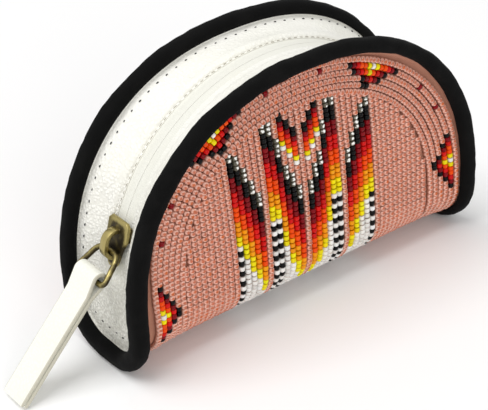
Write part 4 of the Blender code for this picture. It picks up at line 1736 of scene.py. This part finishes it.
@dataclass
class Gusset:
    """The white leather strip between the two halves. Its thinned lips close in on the zip."""

    shape: PanelShape
    thickness: float = 0.0009
    flange_height: float = -0.0015
    bend_radius: float = 0.0012
    inner_leg: float = 0.0012
    edge_reach: float = 0.00095
    web_steps: int = 18
    web_power: float = 1.15
    bend_steps: int = 5
    roll: float = 0.0001
    roll_place: float = 0.14
    roll_width: float = 0.10
    sag: float = 0.0003
    slot_dip: float = 0.0003
    slot_dip_width: float = 0.05
    skived: float = 0.0003
    skived_width: float = 0.06
    wrinkles: tuple[tuple[float, float], ...] = ((0.013, 0.00014), (0.006, 0.00006))
    wrinkle_seed: int = 8
    lips: tuple[Lip, ...] = (
        Lip(0.0034, -0.00068, 0.00018, 0.0010),
        Lip(0.0042, -0.00067, 0.00024, 0.0006),
        Lip(0.0048, -0.00066, 0.00028, 0.0001),
        Lip(0.0050, -0.00052, 0.00040, 0.0),
    )

    def _web(self, share: float) -> tuple[float, float]:
        """Give the web's lift and thickness.

        Args:
            share: The place from the slot (0) to the binding (1).

        Returns:
            How far it stands out, and its thickness.
        """
        dip = self.slot_dip * math.exp(-((share / self.slot_dip_width) ** 2))
        dip += self.sag * math.sin(math.pi * share) ** 2
        ridge = self.roll * math.exp(-(((share - self.roll_place) / self.roll_width) ** 2))
        thinned = self.skived * math.exp(-((share / self.skived_width) ** 2))
        return ridge - dip, self.thickness - thinned

    def rows(self) -> tuple[Array, Array]:
        """Give the middle of the leather and its thickness.

        Returns:
            Points, as stations by columns from the lip to the flange's end, and a thickness
            for each column.
        """
        track = self.shape.edge(*EDGE_STEPS)
        columns, thickness = [], []
        for lip in self.lips:
            v, y = self.shape.slot(track, lip.half, lip.shift)
            columns.append(self.shape.strip(v, y, lip.height))
            thickness.append(lip.thickness)
        slot_v, slot_y = self.shape.slot(track, self.shape.slot_width / 2)
        bend_h = self.flange_height - self.bend_radius
        x, s = self.shape.inset(track, self.inner_leg + self.bend_radius)
        edge_v, edge_y, edge_k = self.shape.strip_place(self.shape.lay(x, s, np.full_like(x, bend_h)))
        for share in np.linspace(0.0, 1.0, self.web_steps) ** self.web_power:
            lift, thick = self._web(share)
            v = slot_v + (edge_v - slot_v) * share
            y = slot_y + (edge_y - slot_y) * share
            k = edge_k * ease(share) + lift * min(1.0, 4 * (1 - share))
            columns.append(self.shape.strip(v, y, k))
            thickness.append(thick)
        for i in range(1, self.bend_steps + 1):
            turn = math.pi / 2 * i / self.bend_steps
            x, s = self.shape.inset(track, self.inner_leg + self.bend_radius * math.cos(turn))
            level = bend_h + self.bend_radius * math.sin(turn)
            columns.append(self.shape.lay(x, s, np.full_like(x, level)))
        x, s = self.shape.inset(track, -self.edge_reach)
        columns.append(self.shape.lay(x, s, np.full_like(x, self.flange_height)))
        thickness += [self.thickness] * (self.bend_steps + 1)
        rows = np.stack(columns, 1)
        wrinkle = smooth_noise(rows, self.wrinkles, self.wrinkle_seed)
        calm = np.zeros(rows.shape[1])
        first = len(self.lips)
        calm[first:first + self.web_steps] = np.sin(np.linspace(0.0, math.pi, self.web_steps))
        moved = rows + self._normals(rows) * (wrinkle * calm[None, :])[..., None]
        return moved, np.array(thickness)

    def _normals(self, rows: Array) -> Array:
        """Give the directions out of the leather's outer face.

        Args:
            rows: Points, as stations by columns.

        Returns:
            A direction for each point.
        """
        along = np.roll(rows, -1, 0) - np.roll(rows, 1, 0)
        out = np.cross(along, np.gradient(rows, axis=1))
        out /= np.linalg.norm(out, axis=2, keepdims=True) + 1e-12
        away = rows - np.array([self.shape.middle_x, 0.0, self.shape.centre_z])
        first = np.sign((out * away).sum(2)[:, len(self.lips) + 2])
        return out * first[:, None, None]

    def build(self) -> bpy.types.Object:
        """Make the gusset.

        Returns:
            The piece.
        """
        rows, thickness = self.rows()
        half = self._normals(rows) * (thickness / 2)[None, :, None]
        bm = loft(np.concatenate([rows + half, (rows - half)[:, ::-1]], 1), True, True)
        face_outward(bm)
        piece = finish_mesh("leather_gusset", bm, 70.0)
        dress(piece, LEATHER, "purse", "gusset")
        return piece

    def line(self, column: float, parts: Sequence[int]) -> tuple[Array, Array]:
        """Give a line on the leather's outer face.

        Args:
            column: Its place among the columns, 0 at the lip.
            parts: The parts of the edge that it runs along, in order.

        Returns:
            The line's points and the directions outward there.
        """
        rows, thickness = self.rows()
        track = self.shape.edge(*EDGE_STEPS)
        out = self._normals(rows)
        faces = rows + out * (thickness / 2)[None, :, None]
        low = int(column)
        share = column - low
        points = faces[:, low] * (1 - share) + faces[:, low + 1] * share
        kept = np.concatenate([np.flatnonzero(track.part == part) for part in parts])
        return points[kept], out[kept, low]

    def web_column(self, share: float) -> float:
        """Give the column at a share of the web, from the slot (0) to the binding (1)."""
        return len(self.lips) + (self.web_steps - 1) * share ** (1 / self.web_power)


# Zip


@dataclass
class Zip:
    """The zip over the arch: two tapes that meet over the coil, and the coil's teeth."""

    shape: PanelShape
    tape_outer: float = -0.00084
    tape_thickness: float = 0.0004
    gap: float = 0.00012
    width: float = 0.0101
    tape_end: float = math.radians(2.5)
    coil_end: float = math.radians(7.5)
    tooth_pitch: float = 0.00125
    wire: float = 0.00033
    coil_width: float = 0.0019
    coil_height: float = 0.0014
    coil_gap: float = 0.0016
    coil_outer: float = -0.00155
    tooth_lean: float = 0.30
    crown: float = 0.00042
    crown_reach: float = 0.0032
    edge_dip: float = 0.00006
    edge_dip_width: float = 0.0003
    steps: tuple[int, int] = (150, 25)

    def build_tape(self, side: float, name: str) -> bpy.types.Object:
        """Make one tape.

        Args:
            side: -1 at the front, 1 at the rear.
            name: The word for that side.

        Returns:
            The piece.
        """
        angle = np.linspace(self.tape_end, math.pi - self.tape_end, self.steps[0])
        across = self.gap / 2 + self.width * np.linspace(0.0, 1.0, self.steps[1]) ** 1.4
        rise = self.crown * np.clip(1.0 - (across / self.crown_reach) ** 2, 0.0, 1.0)
        dip = self.edge_dip * np.exp(-((across - self.gap / 2) / self.edge_dip_width) ** 2)
        top = self.tape_outer + rise - dip
        y = np.concatenate([across, across[::-1]]) * side
        k = np.concatenate([top, (top - self.tape_thickness)[::-1]])
        v = angle * self.shape.zip_radius
        rows = self.shape.strip(v[:, None], y[None, :], k[None, :])
        bm = loft(rows, False, True, caps=True)
        face_outward(bm)
        piece = finish_mesh(f"tape_{name}", bm)
        dress(piece, TAPE, "purse", f"zip_tape_{name}")
        return piece

    def tooth(self, side: float) -> bpy.types.Object:
        """Make one turn of the coil about its own middle.

        Args:
            side: -1 at the front, 1 at the rear.

        Returns:
            The tooth, with X along the zip and Z outward.
        """
        steps, around = 12, 6
        turns = np.linspace(0.0, 2 * math.pi, steps, endpoint=False)
        wide, tall = self.coil_width / 2 - self.wire, self.coil_height / 2 - self.wire
        lean = self.tooth_pitch * self.tooth_lean * np.cos(turns / 2)
        line = np.stack([lean, side * wide * np.cos(turns), tall * np.sin(turns)], 1)
        ahead = np.roll(line, -1, 0) - np.roll(line, 1, 0)
        ahead[0] = line[1] - line[0]
        ahead[-1] = line[-1] - line[-2]
        rows = tube(line, ahead, np.array([1.0, 0.0, 0.0]), self.wire, around)
        return small_piece("one_tooth", loft(rows, False, True, caps=True))

    def build_coil(self, side: float, name: str) -> bpy.types.Object:
        """Make one half of the coil.

        Args:
            side: -1 at the front, 1 at the rear.
            name: The word for that side.

        Returns:
            The piece.
        """
        seed = self.tooth(side)
        k = self.coil_outer - self.coil_height / 2
        radius = self.shape.zip_radius + k
        count = int((math.pi - 2 * self.coil_end) * radius / self.tooth_pitch)
        angle = np.linspace(self.coil_end, math.pi - self.coil_end, count)
        v = angle * self.shape.zip_radius
        y = side * (self.coil_gap + self.coil_width) / 2
        points = self.shape.strip(v, y, k)
        outward = np.stack([-np.cos(angle), np.zeros_like(angle), np.sin(angle)], 1)
        along = np.stack([np.sin(angle), np.zeros_like(angle), np.cos(angle)], 1)
        piece = Sowing(seed=3).sow(f"coil_{name}", seed, points, aim_turns(along, outward), NYLON)
        discard(seed)
        return dress(piece, NYLON, "purse", f"zip_coil_{name}")

    def build(self) -> list[bpy.types.Object]:
        """Make the whole zip.

        Returns:
            The pieces.
        """
        pieces = []
        for side, name in SIDES:
            pieces += [self.build_tape(side, name), self.build_coil(side, name)]
        return pieces


def tube(line: Array, ahead: Array, steady: Array, radius: Any, around: int) -> Array:
    """Give rings of points round a line.

    Args:
        line: The line's points, one row each.
        ahead: The directions along it.
        steady: A direction that is never along the line.
        radius: The radius, one number or one for each point.
        around: Points in a ring.

    Returns:
        The rings, as rows by columns by three.
    """
    unit = ahead / np.linalg.norm(ahead, axis=1, keepdims=True)
    first = np.cross(unit, steady)
    first /= np.linalg.norm(first, axis=1, keepdims=True)
    second = np.cross(unit, first)
    turn = np.linspace(0.0, 2 * math.pi, around, endpoint=False)
    size = np.broadcast_to(np.asarray(radius, float), (len(line),))[:, None, None]
    c, s = np.cos(turn)[None, :, None], np.sin(turn)[None, :, None]
    return line[:, None, :] + (first[:, None, :] * c + second[:, None, :] * s) * size


# Pull


@dataclass
class Pull:
    """The slider, its wire ring and the folded leather tab."""

    shape: PanelShape
    ring_joint: Vector
    tab_joint: Vector
    plate_top: float = 0.00145
    edge_bevel: float = 0.00012
    sharp_angle: float = math.radians(35)
    ring_slope: float = math.radians(38.3)
    tab_slope: float = math.radians(45.8)
    wire: float = 0.00165
    reach: float = 0.0090
    top_width: float = 0.0088
    bar_width: float = 0.0136
    top_corner: float = 0.0034
    bar_corner: float = 0.0013
    corner_steps: int = 12
    ring_around: int = 14
    tab_width: float = 0.0097
    tab_length: float = 0.0390
    leather: float = 0.00115
    bore: float = 0.0028
    loop_shift: float = -0.0006
    join: float = 0.0050
    half_gap: float = 0.000725
    tip_round: float = 0.0006
    tip_squeeze: float = 0.14
    tip_run: float = 0.0015
    tip_narrow: float = 0.04

    def _axes(self, slope: float) -> tuple[Array, Array]:
        """Give the directions down along a hanging piece and out of its upper face."""
        along = np.array([-math.cos(slope), 0.0, -math.sin(slope)])
        out = np.array([-math.sin(slope), 0.0, math.cos(slope)])
        return along, out

    def build_slider(self) -> bpy.types.Object:
        """Copy the slider's solid, ease its edges and mark them as worn.

        Returns:
            The piece.
        """
        bm = bmesh.new()
        bm.from_mesh(frame["nodes"]["zip_slider"].data)
        bmesh.ops.remove_doubles(bm, verts=bm.verts, dist=1e-6)
        bmesh.ops.dissolve_limit(
            bm, angle_limit=math.radians(2.0), verts=bm.verts, edges=bm.edges, use_dissolve_boundaries=False
        )
        closed = [edge for edge in bm.edges if len(edge.link_faces) == 2]
        sharp = [edge for edge in closed if edge.calc_face_angle() > self.sharp_angle]
        bmesh.ops.bevel(
            bm, geom=sharp, offset=self.edge_bevel, offset_type="OFFSET", segments=2, profile=0.5,
            affect="EDGES", clamp_overlap=True
        )
        bmesh.ops.triangulate(bm, faces=[face for face in bm.faces if len(face.verts) > 4])
        face_outward(bm)
        self._mark_wear(bm)
        piece = finish_mesh("brass_slider", bm, 32.0)
        return dress(piece, BRASS, "slider", "zip_slider")

    def _mark_wear(self, bm: bmesh.types.BMesh) -> None:
        """Mark a vertex as worn where the faces round it turn away from each other."""
        bm.normal_update()
        wear = bm.verts.layers.float.new("wear")
        for vert in bm.verts:
            turns = [edge.calc_face_angle_signed() for edge in vert.link_edges if len(edge.link_faces) == 2]
            edged = min(1.0, max(0.0, sum(turns) / 1.1)) if turns else 0.0
            rise = math.hypot(vert.co.x - self.shape.middle_x, vert.co.z - self.shape.centre_z)
            is_bail = rise - self.shape.zip_radius > self.plate_top
            vert[wear] = max(edged, 0.45) if is_bail else edged - 0.25

    def ring_line(self) -> Array:
        """Give the ring's middle line, in the hanging direction and across."""
        top, bar = self.top_width / 2, self.bar_width / 2
        corners = [(0.0, -top), (self.reach, -bar), (self.reach, bar), (0.0, top)]
        line = []
        for i, corner in enumerate(corners):
            radius = self.top_corner if corner[0] == 0.0 else self.bar_corner
            here = Vector(corner)
            before = (Vector(corners[i - 1]) - here).normalized()
            after = (Vector(corners[(i + 1) % 4]) - here).normalized()
            half = before.angle(after) / 2
            centre = here + (before + after).normalized() * (radius / math.sin(half))
            start = here + before * (radius / math.tan(half)) - centre
            sweep = math.pi - 2 * half
            for step in range(self.corner_steps + 1):
                turn = sweep * step / self.corner_steps
                c, s = math.cos(turn), math.sin(turn)
                line.append(centre + Vector((start.x * c - start.y * s, start.x * s + start.y * c)))
        return np.array([(p.x, p.y) for p in line])

    def build_ring(self) -> bpy.types.Object:
        """Bend the wire ring.

        Returns:
            The piece.
        """
        along, out = self._axes(self.ring_slope)
        flat = self.ring_line()
        across = np.array([0.0, 1.0, 0.0])
        line = np.array(self.ring_joint)[None, :] + flat[:, :1] * along + flat[:, 1:] * across
        ahead = np.roll(line, -1, 0) - np.roll(line, 1, 0)
        rows = tube(line, ahead, out, self.wire / 2, self.ring_around)
        bm = loft(rows, True, True)
        face_outward(bm)
        wear = bm.verts.layers.float.new("wear")
        middle = np.array(self.ring_joint) + along * self.reach / 2
        for vert in bm.verts:
            away = Vector(middle) - vert.co
            up = vert.normal.dot(Vector(out))
            # Even wear, plus a painted highlight on the upper face and painted shade on the faces turned in
            # towards the ring's middle.
            vert[wear] = 0.30 + 0.25 * max(0.0, up) - 0.2 * max(0.0, vert.normal.dot(away.normalized()))
        piece = finish_mesh("brass_ring", bm)
        return dress(piece, BRASS, "ring", "pull_ring")

    def tab_line(self) -> tuple[Array, Array]:
        """Give the strap's middle line and the directions out of its outer face.

        The line starts at the tip on the upper layer, goes round the ring and comes back.

        Returns:
            Pairs of a distance down the strap and a height, and the directions in those pairs.
        """
        radius = (self.bore + self.leather) / 2
        run = self.join - self.loop_shift
        reach = math.hypot(run, self.half_gap)
        leave = math.atan2(self.half_gap, run) + math.acos(radius / reach)
        turn = np.linspace(leave, 2 * math.pi - leave, 30)
        loop = np.stack([self.loop_shift + radius * np.cos(turn), radius * np.sin(turn)], 1)
        run_a = np.linspace(self.tab_length, self.join, 26)
        upper = np.stack([run_a, np.full_like(run_a, self.half_gap)], 1)
        join = np.linspace(upper[-1], loop[0], 8)[1:-1]
        flipped = [1, -1]
        line = np.vstack([upper, join, loop, join[::-1] * flipped, upper[::-1] * flipped])
        ahead = np.gradient(line, axis=0)
        ahead /= np.linalg.norm(ahead, axis=1, keepdims=True)
        return line, np.stack([-ahead[:, 1], ahead[:, 0]], 1)

    def tab_section(self) -> tuple[Array, Array]:
        """Give the strap's section, with its cut edges a little rounded.

        Returns:
            Places across the strap, and heights from its middle.
        """
        half_width, half_thick = self.tab_width / 2, self.leather / 2
        turn = np.linspace(0.0, 2 * math.pi, 28, endpoint=False)
        c, s = np.cos(turn), np.sin(turn)
        flat = half_width - half_thick * 0.5
        wide = np.clip(half_width * 1.6 * c, -flat, flat) + np.sign(c) * half_thick * 0.5 * np.abs(c) ** 6
        return wide, half_thick * np.sign(s) * np.minimum(1.0, np.abs(s) * 2.2) ** 0.6

    def build_tab(self) -> bpy.types.Object:
        """Fold the leather strap over the ring.

        Returns:
            The piece.
        """
        along, out = self._axes(self.tab_slope)
        line, outer = self.tab_line()
        wide, thick = self.tab_section()
        rows = np.zeros((len(line), len(wide), 3))
        joint = np.array(self.tab_joint)
        for i, ((a, lift), (na, nc)) in enumerate(zip(line, outer)):
            left = self.tab_length - a
            end = min(1.0, max(0.0, left / self.tip_round))
            squeeze = 1.0 - self.tip_squeeze + self.tip_squeeze * math.sqrt(end)
            narrow = 1.0 - self.tip_narrow * (1.0 - min(1.0, left / self.tip_run)) ** 2
            place_a = a + na * thick * squeeze
            place_c = lift + nc * thick * squeeze
            rows[i] = joint + place_a[:, None] * along + place_c[:, None] * out
            rows[i, :, 1] += wide * narrow
        bm = loft(rows, False, True, caps=True)
        face_outward(bm)
        cut = bm.verts.layers.float.new("cut")
        for vert in bm.verts:
            vert[cut] = (abs(vert.co.y) / (self.tab_width / 2) - 0.90) / 0.07
        piece = finish_mesh("leather_tab", bm, 55.0)
        return dress(piece, TAB_LEATHER, "tab", "pull_tab")

    def build(self) -> list[bpy.types.Object]:
        """Make the slider, the ring and the tab.

        Returns:
            The pieces.
        """
        return [self.build_slider(), self.build_ring(), self.build_tab()]


# Sewing


@dataclass(frozen=True)
class StitchRow:
    """A row of stitches: its column on the gusset, the parts of the edge that it runs along, its
    pitch, and the length, radius and finish of its stitches."""

    name: str
    column: float
    runs: tuple[tuple[int, ...], ...]
    pitch: float
    length: float
    radius: float
    finish: Finish


@dataclass
class Stitching:
    """The rows of stitches on the gusset."""

    gusset: Gusset
    by_binding: float = 0.85
    by_zip: float = 0.55
    wobble: float = 0.10
    spread: float = 0.14
    seed: int = 7

    def stitch(self, length: float, radius: float) -> bpy.types.Object:
        """Make one stitch about its own middle, along X, with its ends sunk in.

        Args:
            length: Its length.
            radius: The thread's radius.

        Returns:
            The stitch.
        """
        place = np.linspace(-1.0, 1.0, 7)
        line = np.stack([place * length / 2, np.zeros(7), radius * 0.9 * (1 - 1.6 * place ** 4)], 1)
        size = radius * np.array([0.5, 0.85, 1.0, 1.0, 1.0, 0.85, 0.5])
        rows = tube(line, np.gradient(line, axis=0), np.array([0.0, 1.0, 0.0]), size, 6)
        return small_piece("one_stitch", loft(rows, False, True, caps=True))

    def row(self, row: StitchRow) -> bpy.types.Object:
        """Sew one row.

        Args:
            row: Where it runs and what its stitches are like.

        Returns:
            The piece.
        """
        seed = self.stitch(row.length, row.radius)
        points, turns = [], []
        for parts in row.runs:
            line, out = self.gusset.line(row.column, parts)
            here, ahead = even_points(np.hstack([line, out]), row.pitch, closed=False)
            points.append(here[:, :3])
            turns.append(aim_turns(ahead[:, :3], here[:, 3:]))
        sowing = Sowing(self.wobble, self.spread, self.seed)
        piece = sowing.sow(row.name, seed, np.vstack(points), np.vstack(turns), row.finish)
        discard(seed)
        return dress(piece, row.finish, "purse")

    def build(self) -> list[bpy.types.Object]:
        """Sew the rows by the binding and by the zip.

        Returns:
            The pieces.
        """
        edge = StitchRow(
            "edge_stitches", column=self.gusset.web_column(self.by_binding), runs=((0, 1, 2, 3),),
            pitch=0.0035, length=0.0007, radius=0.00017, finish=DARK_THREAD,
        )
        seam = StitchRow(
            "seam_stitches", column=self.by_zip, runs=((1,),),
            pitch=0.0021, length=0.0013, radius=0.00008, finish=SEAM_THREAD,
        )
        return [self.row(edge), self.row(seam)]


# Studio


@dataclass(frozen=True)
class Lamp:
    """A square soft lamp: where it hangs, its side, its power in watts and its colour."""

    name: str
    place: Point
    size: float
    power: float
    colour: Colour


@dataclass
class Studio:
    """The camera, the pale floor and the soft lights."""

    middle_x: float
    turn: float = math.radians(-35.5132)
    rise: float = math.radians(31.813)
    roll: float = math.radians(-3.2785)
    distance: float = 0.44732
    target: Point = (-0.00969, 0.00252, 0.02816)
    focal_pixels: float = 1549.04
    image_width: int = 488
    sensor_width: float = 36.0
    clip: tuple[float, float] = (0.01, 50.0)
    floor_size: float = 6.0
    fill: float = 0.49
    lit: Point = (0.0, 0.0, 0.03)
    lamps: tuple[Lamp, ...] = (
        Lamp("key", (-0.9, 0.1, 2.2), 1.6, 33.5, (1.0, 1.0, 1.0)),
        Lamp("front", (-0.6, -2.2, 1.3), 1.2, 17.0, (1.0, 0.985, 0.97)),
    )

    def camera(self) -> None:
        """Place the camera at the photograph's angle."""
        a, e, r = self.turn, self.rise, self.roll
        back = Vector((math.sin(a) * math.cos(e), -math.cos(a) * math.cos(e), math.sin(e)))
        right = Vector((0.0, 0.0, 1.0)).cross(back).normalized()
        up = back.cross(right)
        across = right * math.cos(r) + up * math.sin(r)
        above = up * math.cos(r) - right * math.sin(r)
        data = bpy.data.cameras.new("camera")
        data.sensor_fit = "HORIZONTAL"
        data.sensor_width = self.sensor_width
        data.lens = self.focal_pixels / self.image_width * self.sensor_width
        data.clip_start, data.clip_end = self.clip
        camera = put("camera", data)
        place = Vector(self.target) + Vector((self.middle_x, 0.0, 0.0)) + back * self.distance
        axes = Matrix((across, above, back)).transposed().to_4x4()
        camera.matrix_world = Matrix.Translation(place) @ axes
        bpy.context.scene.camera = camera

    def floor(self) -> None:
        """Lay the pale floor."""
        made = bpy.data.materials.new("pale_floor")
        board = cleared(made)
        tone = board.noise(3.0, 2.0)
        colour = board.blend(tone, (0.955, 0.955, 0.955), (0.975, 0.975, 0.975))
        shader = board.get("ShaderNodeBsdfDiffuse", {}, {"Color": colour}, "BSDF")
        board.add("ShaderNodeOutputMaterial", {}, {"Surface": shader})
        bm = bmesh.new()
        bmesh.ops.create_grid(bm, x_segments=1, y_segments=1, size=self.floor_size)
        floor = finish_mesh("floor", bm, None)
        floor.data.materials.append(made)

    def hang(self, lamp: Lamp) -> None:
        """Hang a lamp that looks at the purse.

        Args:
            lamp: The lamp.
        """
        data = bpy.data.lights.new(lamp.name, "AREA")
        data.shape = "SQUARE"
        data.size = lamp.size
        data.energy = lamp.power
        data.color = lamp.colour
        thing = put(lamp.name, data)
        thing.location = lamp.place
        back = Vector(lamp.place) - Vector(self.lit)
        thing.rotation_euler = back.to_track_quat("Z", "Y").to_euler()

    def world(self) -> None:
        """Fill the room with even light, and show white behind the purse."""
        world = bpy.data.worlds.new("studio")
        board = cleared(world)
        path = board.add("ShaderNodeLightPath")
        seen = Value(board, path.outputs["Is Camera Ray"]).larger(path.outputs["Is Glossy Ray"])
        seen = seen.larger(path.outputs["Is Transmission Ray"])
        fill, white = (
            board.get("ShaderNodeBackground", {}, {"Color": (1, 1, 1, 1), "Strength": strength}, 0)
            for strength in (self.fill, 1.0)
        )
        mixed = board.get("ShaderNodeMixShader", {}, {0: seen, 1: fill, 2: white}, 0)
        board.add("ShaderNodeOutputWorld", {}, {"Surface": mixed})
        bpy.context.scene.world = world

    def build(self) -> None:
        """Set up the whole studio."""
        self.camera()
        self.floor()
        self.world()
        for lamp in self.lamps:
            self.hang(lamp)
        bpy.context.scene.view_settings.view_transform = "Standard"


def main() -> None:
    """Build the purse's looks in order."""
    logging.basicConfig(level=logging.INFO, format="%(message)s")
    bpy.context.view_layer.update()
    low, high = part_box("edge_binding")
    middle_x = (low.x + high.x) / 2
    shape = PanelShape(middle_x)
    joints = {joint["name"]: Vector(joint["pos_m"]) for joint in frame["joints"]}
    Studio(middle_x).build()
    PanelCloth(shape).build()
    Beadwork(shape).build()
    Binding(shape).build()
    gusset = Gusset(shape)
    gusset.build()
    Zip(shape).build()
    Stitching(gusset).build()
    Pull(shape, joints["ring_swing"], joints["tab_swing"]).build()


if __name__ == "__main__":
    main()
